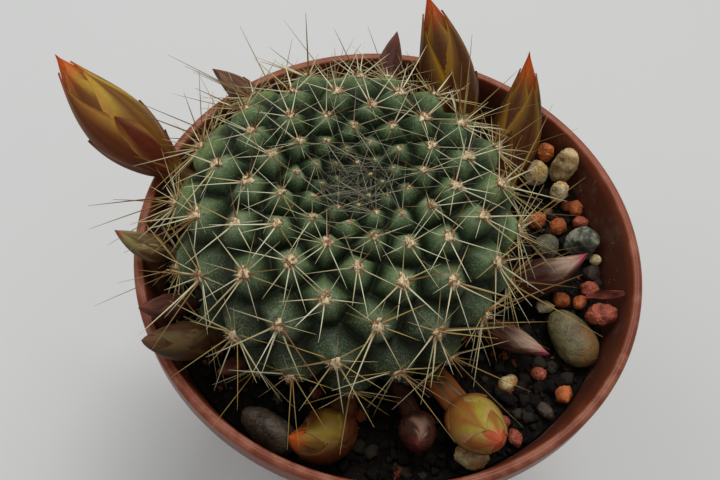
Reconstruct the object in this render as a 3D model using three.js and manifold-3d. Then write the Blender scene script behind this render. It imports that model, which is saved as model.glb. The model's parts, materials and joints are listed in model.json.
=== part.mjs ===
// A round cactus in bud, growing in gritty soil in a 9 cm plastic pot.
// Millimetres, +Z up, origin at the middle of the pot's underside, front of the pot towards -Y.
import * as THREE from 'three';
import { ConvexHull } from 'three/addons/math/ConvexHull.js';
import { mergeVertices } from 'three/addons/utils/BufferGeometryUtils.js';
import Module from 'manifold-3d';

const wasm = await Module();
wasm.setup();

// Driving dimensions

const clearance = 0.3;
const goldenTurn = Math.PI * (3 - Math.sqrt(5));

const pot = {
  height: 75,
  rimRadius: 45,
  bandHeight: 5,
  lipWidth: 1.75,
  lipRound: 0.8,
  edge: 0.6,
  wall: 1.4,
  taper: 0.2,
  floor: 2,
  heel: 3,
  heelWidth: 2,
  footWidth: 5,
  discRadius: 10,
  recess: 1,
  holes: 8,
  holeRadius: 3,
  holeCircle: 18,
  notches: 4,
  notchWidth: 5,
  sides: 36,
};

const soil = {
  level: 65.2,
  roughness: 1.1,
  lumpSize: 3.4,
  grainSize: 1.7,
  rings: 8,
  sides: 32,
  moundHeight: 2.2,
  moundRadius: 8,
  mound: [31, 22],
};

const plant = {
  centre: [-8.5, -0.5, 76.8],
  radius: 29.7,
  rise: 17.3,
  shoulder: 3.04,
  drop: 20,
  lean: 0.078,
  dimple: 3,
  dimpleRadius: 9,
  collar: -15,
  smoothBelow: -8.5,
  root: [[0, -36], [3.2, -35.2], [7.5, -29], [13, -22.5], [18.2, -16.5], [20.4, -13], [0, -9]],
  rootSides: 26,
  skirt: [0, 2, 4, 7],
  skirtHeight: 8,
};

// Tubercle number n stands at the arc length start + step n + growth n^2 from the crown.
const spiral = {
  count: 118,
  phase: 0.675,
  start: 2.82,
  step: 0.279,
  growth: 0.0015,
  lowest: -9.5,
  depth: 2.3,
  depthPerSpacing: 0.27,
  grooveReach: 0.55,
  split: 3,
  collarPoints: 20,
};

const areole = {
  height: 0.7,
  reach: 0.12,
};

const needle = {
  perAreole: 5,
  radius: 0.3,
  spread: 0.9,
  spreadPerSpacing: 0.14,
  sunk: 0.55,
  crownLength: 5,
  radialLength: 12,
  centralLength: 17,
  radialPitch: 24,
  centralPitch: 58,
  grown: 40,
  tries: 14,
  samples: 14,
  pastTip: 0.6,
  clearOf: { bud: 1.5, stone: 0.8, pot: 0.9, soil: 2.2 },
};

// The buds, bud_1 to bud_14. Each roots on the flank at an azimuth (degrees) and a height over the
// widest ring, leaves it at one heading and pitch, and has its tip at another heading and pitch.
// Where it bends sharply, reach is how far it holds its first heading. Some have a longer neck.
const buds = [
  { kind: 'ripe', azimuth: 169, height: 0.8, leaves: [159, 12], tip: [151, 24], length: 31, width: 10.9 },
  { kind: 'ripe', azimuth: 43, height: -5, leaves: [95, 27], tip: [110, 35], length: 33, width: 10.7 },
  { kind: 'ripe', azimuth: 26, height: -6, leaves: [54, 6], tip: [75, 32], length: 30, width: 9.7 },
  { kind: 'young', azimuth: 82, height: 0, leaves: [87, 7], tip: [85, 19], length: 15.5, width: 5.3 },
  { kind: 'young', azimuth: 127, height: 0.4, leaves: [136, 10], tip: [149, 16], length: 13, width: 4.8 },
  { kind: 'young', azimuth: 199, height: 0, leaves: [191, 13], tip: [178, 25], length: 10.3, width: 4.4 },
  { kind: 'young', azimuth: 217, height: -1.6, leaves: [216, 22], tip: [213, 33], length: 9.5, width: 4.3 },
  { kind: 'middle', azimuth: 232, height: -1, leaves: [221, 24], tip: [209, 31], length: 12.6, width: 5.9 },
  { kind: 'young', azimuth: 242, height: -6, leaves: [242, 27], tip: [229, 33], length: 6, width: 3 },
  {
    kind: 'middle', azimuth: 279.4, height: -5, leaves: [267, -19], reach: 11.4, tip: [233, 18],
    length: 13, width: 8.3,
  },
  {
    kind: 'young', azimuth: 296, height: -7, leaves: [306, -9], reach: 11.5, tip: [289, 19],
    length: 12.6, width: 6, neck: 0.4,
  },
  {
    kind: 'middle', azimuth: 310, height: -7, leaves: [310, -8], reach: 13.5, tip: [308.5, 21],
    length: 18.6, width: 8.6, neck: 0.4,
  },
  { kind: 'young', azimuth: 336, height: -7.5, leaves: [334, 5], tip: [336, 8.5], length: 14.2, width: 4.7 },
  { kind: 'young', azimuth: 353, height: -7, leaves: [350, 5], tip: [18, 12], length: 18.4, width: 6.5 },
];

// How deep in the flank a bud's line begins
const budRoot = 1.5;

// A bud's form along its length: the neck's share and its thickness against the belly, where the
// belly is thickest and how full it is. Each whorl of tepals lies over the next one in and narrows
// from one share of the length to its points, and turn says which tepals it stands between.
const budKinds = {
  ripe: {
    neck: 0.14,
    neckWidth: 0.36,
    belly: 0.48,
    fullness: 1.05,
    tepals: 5,
    stations: [0, 0.14, 0.25, 0.35, 0.45, 0.55, 0.65, 0.74, 0.83, 0.92],
    whorls: [
      { narrows: 0.12, points: 0.37, turn: 2, lift: 0.4 },
      { narrows: 0.42, points: 0.78, turn: 0, lift: 0.6 },
    ],
  },
  middle: {
    neck: 0.24,
    neckWidth: 0.5,
    belly: 0.46,
    fullness: 0.66,
    tepals: 4,
    stations: [0, 0.2, 0.36, 0.52, 0.66, 0.79, 0.91],
    whorls: [{ narrows: 0.42, points: 0.84, turn: 0, lift: 0.55 }],
  },
  young: {
    neck: 0.26,
    neckWidth: 0.5,
    belly: 0.42,
    fullness: 0.82,
    tepals: 3,
    stations: [0, 0.22, 0.4, 0.56, 0.72, 0.87],
    whorls: [{ narrows: 0.4, points: 0.8, turn: 0, lift: 0.4 }],
  },
};

// Half sizes along, across and up, the centre's place over the pot's base, then turn and tilt in
// degrees. A stone with an egg share is a smooth pebble that narrows towards one end.
const stones = [
  {
    name: 'pebble_pale', look: 'pale', size: [6, 4.6, 3.6], at: [34, -11.9, 67.7],
    turn: -52, tilt: 4, egg: 0.3,
  },
  { name: 'pebble_brown', look: 'grey', size: [5.9, 2.9, 3.9], at: [-16.4, -35.1, 68], turn: -28, egg: 0.1 },
  { name: 'slate', look: 'dark', size: [3.5, 3.2, 3.7], at: [36.6, 8.5, 67.6], turn: 62, tilt: 18 },
  { name: 'tan_upright', look: 'tan', size: [2.5, 2.4, 4.8], at: [32.5, 23.1, 71.9], turn: 42, tilt: 5 },
  { name: 'cream_back', look: 'cream', size: [2.6, 2.3, 2.6], at: [27.6, 22.7, 69], turn: 40 },
  { name: 'white_back', look: 'cream', size: [1.9, 1.7, 2.8], at: [32, 18.6, 69.4], turn: 70 },
  { name: 'orange_back', look: 'orange', size: [1.7, 1.7, 2.4], at: [29.4, 27.5, 70], turn: 10 },
  { name: 'red_rough', look: 'red', size: [2.8, 1.9, 1.9], at: [38.6, -8.2, 70.9], turn: 0, tilt: -18 },
  { name: 'orange_1', look: 'orange', size: [1.8, 1.6, 1.6], at: [32.5, -4, 66.8], turn: 0 },
  { name: 'orange_2', look: 'orange', size: [1.6, 1.4, 1.4], at: [36, -4, 66.6], turn: 35 },
  { name: 'cream_block', look: 'cream', size: [2.1, 1.3, 1.3], at: [29.2, -6.1, 67.2], turn: 8, tilt: 10 },
  { name: 'tan_small', look: 'tan', size: [1.4, 0.9, 0.9], at: [38, -7, 66.5], turn: -50 },
  { name: 'dark_red', look: 'red', size: [2.1, 1.8, 1.7], at: [38, -0.7, 66.4], turn: 0 },
  { name: 'dark_brown', look: 'dark', size: [2, 1.6, 1.5], at: [38.8, 2.9, 66.3], turn: 40 },
  { name: 'round_pale', look: 'cream', size: [1.2, 1.2, 1.2], at: [39.5, 5.8, 66.3], turn: 0 },
  { name: 'red_back', look: 'red', size: [1.7, 1.5, 1.5], at: [36.8, 13.6, 66.8], turn: 15 },
  { name: 'orange_3', look: 'orange', size: [1.9, 1.7, 1.8], at: [32.4, 12.2, 66.8], turn: 50 },
  { name: 'orange_4', look: 'orange', size: [1.9, 1.7, 1.7], at: [35.9, 16.9, 67], turn: 80 },
  { name: 'orange_brown', look: 'orange', size: [2.3, 1.6, 1.7], at: [28.1, 13, 66.7], turn: 25 },
  { name: 'grey_green', look: 'grey', size: [2.7, 2.3, 2.2], at: [29.9, 7.3, 66.8], turn: 60 },
  { name: 'orange_chip', look: 'orange', size: [2, 1.7, 1.2], at: [32.6, -22, 66.2], turn: 55, tilt: 10 },
  { name: 'grey_chip', look: 'grey', size: [2.1, 1.4, 1.1], at: [29.3, -25.4, 66.1], turn: -38 },
  { name: 'red_front_1', look: 'red', size: [1.7, 1.4, 1.3], at: [21.8, -28.6, 66], turn: 60 },
  { name: 'red_front_2', look: 'red', size: [2, 1.3, 1.1], at: [24.2, -30.8, 66], turn: -70 },
  { name: 'red_right', look: 'red', size: [1.6, 1.3, 1.2], at: [28.3, -18.8, 66], turn: 0 },
  { name: 'brown_right', look: 'tan', size: [2.2, 1.6, 1.4], at: [22.9, -21.2, 65.8], turn: 30 },
  { name: 'brown_front', look: 'tan', size: [3.1, 2.1, 1.6], at: [16.8, -34.7, 65.9], turn: -5 },
];

const stoneShape = {
  split: 1,
  largeSize: 2.35,
  bumps: 0.16,
  pebbleBumps: 0.05,
};

const driedPetal = {
  from: [36.5, -4.1, 68.9],
  over: [39.6, -4.8, 71.6],
  to: [41.6, -4.9, 73.9],
  width: 2.2,
  thickness: 0.6,
  steps: 7,
  roll: 70,
};

// Numbers drawn in a fixed order

function seededRandom(seed) {
  let state = seed;
  return () => {
    state = (state + 0x6d2b79f5) | 0;
    let mixed = Math.imul(state ^ (state >>> 15), 1 | state);
    mixed = (mixed + Math.imul(mixed ^ (mixed >>> 7), 61 | mixed)) ^ mixed;
    return ((mixed ^ (mixed >>> 14)) >>> 0) / 4294967296;
  };
}

function cornerValue(x, y, z) {
  const wave = Math.sin(x * 127.1 + y * 311.7 + z * 74.7) * 43758.5453;
  return wave - Math.floor(wave);
}

// Smooth lumps between 0 and 1
function lumps(x, y, z) {
  const cell = [Math.floor(x), Math.floor(y), Math.floor(z)];
  const share = [x - cell[0], y - cell[1], z - cell[2]].map((v) => THREE.MathUtils.smoothstep(v, 0, 1));
  let sum = 0;
  for (let corner = 0; corner < 8; corner++) {
    const step = [corner & 1, (corner >> 1) & 1, (corner >> 2) & 1];
    const weight = step.reduce((w, s, axis) => w * (s ? share[axis] : 1 - share[axis]), 1);
    sum += weight * cornerValue(cell[0] + step[0], cell[1] + step[1], cell[2] + step[2]);
  }
  return sum;
}

// Solids

function toSolid(geometry, matrix = new THREE.Matrix4()) {
  const bare = geometry.clone().applyMatrix4(matrix);
  bare.deleteAttribute('normal');
  bare.deleteAttribute('uv');
  const merged = mergeVertices(bare, 1e-5);
  const index = merged.index.array;
  const faces = [];
  for (let i = 0; i < index.length; i += 3) {
    const [a, b, c] = [index[i], index[i + 1], index[i + 2]];
    if (a !== b && b !== c && c !== a) faces.push(a, b, c);
  }
  const vertProperties = new Float32Array(merged.attributes.position.array);
  return new wasm.Manifold(new wasm.Mesh({ numProp: 3, vertProperties, triVerts: new Uint32Array(faces) }));
}

function toGeometry(solid) {
  const { vertProperties, triVerts } = solid.getMesh();
  const geometry = new THREE.BufferGeometry();
  geometry.setAttribute('position', new THREE.BufferAttribute(new Float32Array(vertProperties), 3));
  geometry.setIndex(new THREE.BufferAttribute(new Uint32Array(triVerts), 1));
  return geometry;
}

function join(solids) {
  return solids.reduce((sum, solid) => sum.add(solid));
}

// Joins in pairs, which is much quicker for hundreds of small solids
function joinMany(solids) {
  let layer = solids;
  while (layer.length > 1) {
    const next = [];
    for (let i = 0; i < layer.length; i += 2) {
      next.push(i + 1 < layer.length ? layer[i].add(layer[i + 1]) : layer[i]);
    }
    layer = next;
  }
  return layer[0];
}

function largestPiece(solid) {
  const pieces = solid.decompose();
  return pieces.reduce((best, piece) => (piece.volume() > best.volume() ? piece : best));
}

// A closed body through rings with equal counts of points, each ring seen from its first point
function stackRings(rings) {
  const count = rings[0].length;
  const positions = rings.flat().flatMap((p) => [p.x, p.y, p.z]);
  const index = [];
  for (let i = 0; i + 1 < rings.length; i++) {
    for (let j = 0; j < count; j++) {
      const a = i * count + j;
      const b = i * count + ((j + 1) % count);
      index.push(a, b, b + count, a, b + count, a + count);
    }
  }
  const last = (rings.length - 1) * count;
  for (let j = 1; j + 1 < count; j++) {
    index.push(0, j + 1, j);
    index.push(last, last + j, last + j + 1);
  }
  const geometry = new THREE.BufferGeometry();
  geometry.setAttribute('position', new THREE.Float32BufferAttribute(positions, 3));
  geometry.setIndex(index);
  return geometry;
}

function lathe(points, sides) {
  const profile = points.map(([r, z]) => new THREE.Vector2(r, z));
  return new THREE.LatheGeometry(profile, sides).rotateX(Math.PI / 2);
}

function radians(degrees) {
  return THREE.MathUtils.degToRad(degrees);
}

function direction(heading, pitch) {
  const flat = Math.cos(radians(pitch));
  return new THREE.Vector3(flat * Math.cos(radians(heading)), flat * Math.sin(radians(heading)),
    Math.sin(radians(pitch)));
}

function piece(name, geometry, color, roughness) {
  const material = new THREE.MeshStandardMaterial({ color, roughness, metalness: 0 });
  const mesh = new THREE.Mesh(geometry, material);
  mesh.name = name;
  return mesh;
}

// Pot

function innerRadius(z) {
  return pot.rimRadius - pot.lipWidth - pot.taper * (pot.height - z);
}

function makePot() {
  const bandFoot = pot.height - pot.bandHeight;
  const lipInside = innerRadius(pot.height - pot.edge);
  const footRadius = innerRadius(0) + pot.wall;
  const footInside = footRadius - pot.footWidth;
  const body = toSolid(lathe([
    [0, 0],
    [pot.discRadius, 0],
    [pot.discRadius, pot.recess],
    [footInside, pot.recess],
    [footInside, 0],
    [footRadius - pot.edge, 0],
    [footRadius, pot.edge],
    [innerRadius(bandFoot) + pot.wall, bandFoot],
    [pot.rimRadius - pot.edge, bandFoot],
    [pot.rimRadius, bandFoot + pot.edge],
    [pot.rimRadius, pot.height - pot.lipRound],
    [pot.rimRadius - 0.3 * pot.lipRound, pot.height - 0.3 * pot.lipRound],
    [pot.rimRadius - pot.lipRound, pot.height],
    [lipInside + pot.edge, pot.height],
    [lipInside, pot.height - pot.edge],
    [innerRadius(pot.floor + pot.heel), pot.floor + pot.heel],
    [innerRadius(pot.floor) - pot.heelWidth, pot.floor],
    [0, pot.floor],
  ], pot.sides));
  const cuts = [];
  for (let i = 0; i < pot.holes; i++) {
    const angle = ((i + 0.5) / pot.holes) * 2 * Math.PI;
    const hole = new THREE.CylinderGeometry(pot.holeRadius, pot.holeRadius, 4 * pot.floor, 12)
      .rotateX(Math.PI / 2)
      .translate(pot.holeCircle * Math.cos(angle), pot.holeCircle * Math.sin(angle), 0);
    cuts.push(toSolid(hole));
  }
  for (let i = 0; i < pot.notches; i++) {
    const notch = new THREE.BoxGeometry(3 * pot.footWidth, pot.notchWidth, 2 * pot.recess)
      .translate(footRadius, 0, 0)
      .rotateZ((i / pot.notches) * 2 * Math.PI);
    cuts.push(toSolid(notch));
  }
  return body.subtract(join(cuts));
}

// Soil

function soilHeight(x, y) {
  const lump = lumps(x / soil.lumpSize, y / soil.lumpSize, 1.5) - 0.5;
  const grain = lumps(x / soil.grainSize, y / soil.grainSize, 7.5) - 0.5;
  const toMound = Math.hypot(x - soil.mound[0], y - soil.mound[1]) / soil.moundRadius;
  const mound = soil.moundHeight * Math.exp(-toMound * toMound);
  return soil.level + mound + soil.roughness * (lump + 0.5 * grain);
}

function makeSoil() {
  const rings = [];
  for (let i = 0; i <= soil.rings; i++) {
    const ring = [];
    for (let j = 0; j < soil.sides; j++) {
      const angle = (j / soil.sides) * 2 * Math.PI;
      const outer = innerRadius(soil.level) - clearance;
      const reach = Math.max(outer * (1 - i / soil.rings) ** 0.8, 0.5);
      const z = soilHeight(reach * Math.cos(angle), reach * Math.sin(angle));
      const r = i === 0 ? innerRadius(z) - clearance : reach;
      ring.push(new THREE.Vector3(r * Math.cos(angle), r * Math.sin(angle), z));
    }
    rings.push(ring);
  }
  const foot = rings[0].map((p) => {
    const r = innerRadius(pot.floor) - pot.heelWidth - clearance;
    return new THREE.Vector3(p.x, p.y, 0).setLength(r).setZ(pot.floor);
  });
  const heel = rings[0].map((p) => {
    const r = innerRadius(pot.floor + pot.heel) - clearance;
    return new THREE.Vector3(p.x, p.y, 0).setLength(r).setZ(pot.floor + pot.heel);
  });
  return toSolid(stackRings([foot, heel, ...rings]));
}

// Cactus body, in the plant's own frame: origin at the middle of the widest ring

function flankProfile() {
  const steps = 400;
  const lowest = Math.asin(plant.collar / plant.drop);
  const rows = [];
  for (let i = 1; i <= steps; i++) {
    const angle = THREE.MathUtils.lerp(Math.PI / 2, lowest, i / steps);
    const above = angle > 0;
    const power = above ? 2 / plant.shoulder : 1;
    const r = plant.radius * Math.cos(angle) ** power;
    const height = above ? plant.rise : plant.drop;
    const dip = above ? plant.dimple * Math.exp(-((r / plant.dimpleRadius) ** 2)) : 0;
    const z = height * Math.sign(Math.sin(angle)) * Math.abs(Math.sin(angle)) ** power - dip;
    const before = rows.at(-1);
    const stride = before ? Math.hypot(r - before.r, z - before.z) : r;
    const s = before ? before.s + stride : r;
    const u = before ? before.u + (2 * stride) / (r + before.r) : Math.log(r);
    rows.push({ r, z, s, u });
  }
  return rows;
}

const flank = flankProfile();
const widest = flank.reduce((best, row) => (row.r > best.r ? row : best));

// The profile's row at an arc length s, or at a stretched latitude u that keeps angles true
function rowAt(key, value) {
  const first = flank[0];
  const last = flank.at(-1);
  if (value <= first[key]) {
    const share = key === 's' ? value / first.s : Math.exp(value - first.u);
    return { r: first.r * share, z: first.z, s: first.s * share, nr: 0, nz: 1 };
  }
  if (value >= last[key]) {
    const share = Math.exp(last.u - value);
    return { r: last.r * share, z: last.z, s: last.s + last.r * (1 - share), nr: 0, nz: -1 };
  }
  let low = 0;
  let high = flank.length - 1;
  while (high - low > 1) {
    const middle = (low + high) >> 1;
    if (flank[middle][key] < value) low = middle;
    else high = middle;
  }
  const [a, b] = [flank[low], flank[high]];
  const share = (value - a[key]) / (b[key] - a[key]);
  const length = Math.hypot(b.r - a.r, b.z - a.z);
  return {
    r: THREE.MathUtils.lerp(a.r, b.r, share),
    z: THREE.MathUtils.lerp(a.z, b.z, share),
    s: THREE.MathUtils.lerp(a.s, b.s, share),
    nr: (a.z - b.z) / length,
    nz: (b.r - a.r) / length,
  };
}

function onFlank(row, angle, lift = 0) {
  const r = row.r + row.nr * lift;
  const z = row.z + row.nz * lift;
  return new THREE.Vector3(r * Math.cos(angle) + plant.lean * z, r * Math.sin(angle), z);
}

function makeTips() {
  const tips = [];
  for (let n = 0; n < spiral.count; n++) {
    const s = spiral.start + spiral.step * n + spiral.growth * n * n;
    const row = rowAt('s', s);
    if (row.z < spiral.lowest) break;
    const stride = spiral.step + 2 * spiral.growth * n;
    const angle = spiral.phase + n * goldenTurn;
    const spacing = Math.sqrt((2 / Math.sqrt(3)) * 2 * Math.PI * row.r * stride);
    tips.push({ row, angle, spacing, base: onFlank(row, angle) });
  }
  return tips;
}

const tips = makeTips();

// How far the skin lies under the tubercles' tips
function groove(point, row) {
  let nearest = Infinity;
  let spacing = 1;
  for (const tip of tips) {
    const distance = point.distanceTo(tip.base) / tip.spacing;
    if (distance < nearest) {
      nearest = distance;
      spacing = tip.spacing;
    }
  }
  const depth = Math.min(spiral.depth, spiral.depthPerSpacing * spacing);
  const fade = THREE.MathUtils.smoothstep(row.z, plant.collar + 3, plant.smoothBelow);
  const pad = areole.height * Math.max(0, 1 - nearest / areole.reach);
  return fade * (depth * Math.min(1, (nearest / spiral.grooveReach) ** 1.8) - pad);
}

// The skin is a net of triangles between tubercle tips, each split into smaller ones
function bodyGeometry(grow) {
  const equator = widest.u;
  const toSphere = (u, angle) => {
    const polar = 2 * Math.atan(Math.exp(u - equator));
    return new THREE.Vector3(Math.sin(polar) * Math.cos(angle), Math.sin(polar) * Math.sin(angle),
      Math.cos(polar));
  };
  const uAt = (s) => flank.find((row) => row.s >= s).u;
  const corners = tips.map((tip) => toSphere(uAt(tip.row.s), tip.angle));
  for (let i = 0; i < spiral.collarPoints; i++) {
    corners.push(toSphere(flank.at(-1).u, (i / spiral.collarPoints) * 2 * Math.PI));
  }
  const hull = new ConvexHull().setFromPoints(corners);
  const positions = [];
  const known = new Map();
  const vertex = (parts) => {
    const used = parts.filter(([, weight]) => weight > 0).sort((a, b) => a[0] - b[0]);
    const name = used.map(([corner, weight]) => `${corner}:${weight}`).join(' ');
    if (!known.has(name)) {
      const sum = new THREE.Vector3();
      used.forEach(([corner, weight]) => sum.addScaledVector(corners[corner], weight));
      sum.normalize();
      const angle = Math.atan2(sum.y, sum.x);
      const row = rowAt('u', equator + Math.log(Math.tan(Math.acos(sum.z) / 2)));
      const point = onFlank(row, angle, grow - groove(onFlank(row, angle), row));
      known.set(name, positions.length / 3);
      positions.push(point.x, point.y, point.z);
    }
    return known.get(name);
  };
  const split = spiral.split;
  const index = [];
  for (const face of hull.faces) {
    const [a, b, c] = [0, 1, 2].map((i) => corners.indexOf(face.getEdge(i).head().point));
    const at = (i, j) => vertex([[a, split - i - j], [b, i], [c, j]]);
    for (let i = 0; i < split; i++) {
      for (let j = 0; j < split - i; j++) {
        index.push(at(i, j), at(i + 1, j), at(i, j + 1));
        if (i + j < split - 1) index.push(at(i + 1, j), at(i + 1, j + 1), at(i, j + 1));
      }
    }
  }
  const geometry = new THREE.BufferGeometry();
  geometry.setAttribute('position', new THREE.Float32BufferAttribute(positions, 3));
  geometry.setIndex(index);
  return geometry;
}

function outward(tip) {
  const lifted = onFlank(tip.row, tip.angle, 1);
  return lifted.sub(tip.base).normalize();
}

function leanOver(geometry) {
  const shear = new THREE.Matrix4().set(1, 0, plant.lean, 0, 0, 1, 0, 0, 0, 0, 1, 0, 0, 0, 0, 1);
  return geometry.applyMatrix4(shear);
}

function rootGeometry(grow) {
  const points = plant.root.map(([r, z], i) => {
    const end = i === 0 || i === plant.root.length - 1;
    return [end ? 0 : r + grow, i === 0 ? z - grow : z];
  });
  return leanOver(lathe(points, plant.rootSides));
}

// The body's underside without its tubercles, as the soil has closed round it
function skirtGeometry(grow) {
  const rows = plant.skirt.map((rise) => flank.findLast((row) => row.z >= plant.collar + rise));
  const points = rows.map((row, i) => [row.r + grow, row.z - (i === 0 ? grow : 0)]);
  const profile = [[0, plant.collar - grow], ...points, [0, plant.collar + plant.skirtHeight]];
  return leanOver(lathe(profile, spiral.collarPoints * 2));
}

function makeBody(grow) {
  return toSolid(bodyGeometry(grow)).add(toSolid(rootGeometry(grow)));
}

// Buds

function budRadius(bud, t) {
  const kind = budKinds[bud.kind];
  const neck = (kind.neckWidth * bud.width) / 2;
  const from = bud.neck ?? kind.neck;
  if (t < from) return neck;
  const along = Math.min((t - from) / (1 - from), 1);
  const power = Math.log(0.5) / Math.log(kind.belly);
  const swell = Math.max(Math.sin(Math.PI * along ** power), 0) ** kind.fullness;
  return neck * (1 - along) + (bud.width / 2 - neck * (1 - kind.belly)) * swell;
}

function budCurve(bud) {
  const row = flank.find((r) => r.s > widest.s / 2 && r.z <= bud.height);
  const from = onFlank({ ...row, nr: 1, nz: 0 }, radians(bud.azimuth), -budRoot);
  const over = from.clone().addScaledVector(direction(...bud.leaves), bud.reach ?? bud.length / 2);
  const to = from.clone().addScaledVector(direction(...bud.tip), bud.length + budRoot);
  return new THREE.QuadraticBezierCurve3(from, over, to);
}

function budPoint(curve, t, angle, radius) {
  const tangent = curve.getTangent(t);
  const side = new THREE.Vector3(0, 0, 1).cross(tangent).normalize();
  const top = new THREE.Vector3().crossVectors(tangent, side);
  return curve.getPoint(t)
    .addScaledVector(side, radius * Math.cos(angle))
    .addScaledVector(top, radius * Math.sin(angle));
}

// Columns of points run along the bud: a tepal's middle, its edge, the next whorl's middle, an edge.
// Outer tepals stand out from the inner ones and end in points, and the innermost end the bud.
function makeBud(bud) {
  const kind = budKinds[bud.kind];
  const curve = budCurve(bud);
  const columns = 4 * kind.tepals;
  const scale = bud.width / 10;
  const ring = (place) => Array.from({ length: columns }, (_, j) => {
    const { t, radius } = place(j);
    return budPoint(curve, t, (j / columns) * 2 * Math.PI, radius);
  });
  const rings = kind.stations.map((t) => ring((j) => {
    let radius = budRadius(bud, t) + (j % 2 === 0 ? 0.1 : -0.1) * scale;
    for (const whorl of kind.whorls) {
      const fromMiddle = Math.abs(((j + whorl.turn + 2) % 4) - 2);
      const cover = (2 * (whorl.points - t)) / (whorl.points - whorl.narrows);
      if (fromMiddle <= cover + 0.01) radius += whorl.lift * scale;
    }
    return { t, radius };
  }));
  const innerTurn = kind.whorls.length % 2 === 0 ? 2 : 0;
  rings.push(ring((j) => {
    const middle = (j + innerTurn) % 4 === 2;
    return { t: middle ? 1 : 0.945, radius: middle ? 0.35 * scale : 0.55 * scale };
  }));
  rings.push(ring(() => ({ t: 0.95, radius: 0 })));
  return toSolid(stackRings(rings));
}

// Stones

function stoneGeometry(stone, grow) {
  const pebble = stone.egg !== undefined;
  const large = Math.max(...stone.size) > stoneShape.largeSize;
  const split = large ? stoneShape.split : 0;
  const bumps = pebble ? stoneShape.pebbleBumps : stoneShape.bumps;
  const geometry = new THREE.IcosahedronGeometry(1, split);
  const position = geometry.attributes.position;
  const point = new THREE.Vector3();
  const seed = stone.at[0] + 3 * stone.at[1];
  for (let i = 0; i < position.count; i++) {
    point.fromBufferAttribute(position, i);
    const bump = 1 + 2 * bumps * (lumps(1.3 * point.x + seed, 1.3 * point.y + 9, 1.3 * point.z + 9) - 0.5);
    const narrow = 1 - (stone.egg ?? 0) * (0.5 - 0.5 * point.x);
    position.setXYZ(i,
      point.x * (stone.size[0] * bump + grow),
      point.y * (stone.size[1] * bump * narrow + grow),
      point.z * (stone.size[2] * bump * narrow + grow));
  }
  return geometry;
}

function placeStone(stone, mesh) {
  mesh.position.set(...stone.at);
  mesh.rotation.set(0, radians(stone.tilt ?? 0), radians(stone.turn), 'ZYX');
  mesh.updateMatrixWorld();
}

// Dried petal: a thin strip, rolled about its length, from the stones up to the wall

function petalGeometry() {
  const ends = [driedPetal.from, driedPetal.over, driedPetal.to].map((p) => new THREE.Vector3(...p));
  const curve = new THREE.QuadraticBezierCurve3(...ends);
  const rings = [];
  for (let i = 0; i <= driedPetal.steps; i++) {
    const t = i / driedPetal.steps;
    const width = driedPetal.width * (0.35 + 0.65 * Math.sin(Math.PI * (0.12 + 0.8 * t)));
    const roll = radians(driedPetal.roll) * (t - 0.3);
    const tangent = curve.getTangent(t);
    const side = new THREE.Vector3(0, 0, 1).cross(tangent).normalize().applyAxisAngle(tangent, roll);
    const face = new THREE.Vector3().crossVectors(tangent, side);
    const corner = (a, b) => curve.getPoint(t)
      .addScaledVector(side, (a * width) / 2)
      .addScaledVector(face, (b * driedPetal.thickness) / 2);
    rings.push([corner(1, -1), corner(1, 1), corner(-1, 1), corner(-1, -1)]);
  }
  return stackRings(rings);
}

// Needles, aimed clear of the buds, stones, soil and pot

function budObstacles() {
  return buds.flatMap((bud) => {
    const curve = budCurve(bud);
    return Array.from({ length: 12 }, (_, i) => {
      const t = (i + 0.5) / 11.5;
      const centre = curve.getPoint(t);
      return { centre, radius: budRadius(bud, t) + needle.clearOf.bud };
    });
  });
}

function stoneObstacles() {
  const origin = new THREE.Vector3(...plant.centre);
  return stones.map((stone) => {
    const centre = new THREE.Vector3(...stone.at).sub(origin);
    return { centre, radius: Math.max(...stone.size) + needle.clearOf.stone };
  });
}

function isClear(from, toward, length, obstacles) {
  const { clearOf, samples } = needle;
  const point = new THREE.Vector3();
  for (let i = 1; i <= samples; i++) {
    point.copy(from).addScaledVector(toward, (length * i) / samples);
    const fromAxis = Math.hypot(point.x + plant.centre[0], point.y + plant.centre[1]);
    const height = point.z + plant.centre[2];
    const wall = innerRadius(Math.min(height, pot.height)) - clearOf.pot;
    if (height < pot.height + clearOf.pot && fromAxis > wall) return false;
    if (height < soil.level + clearOf.soil && fromAxis < innerRadius(pot.height)) return false;
    if (obstacles.some(({ centre, radius }) => point.distanceTo(centre) < radius)) return false;
  }
  return true;
}

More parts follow.
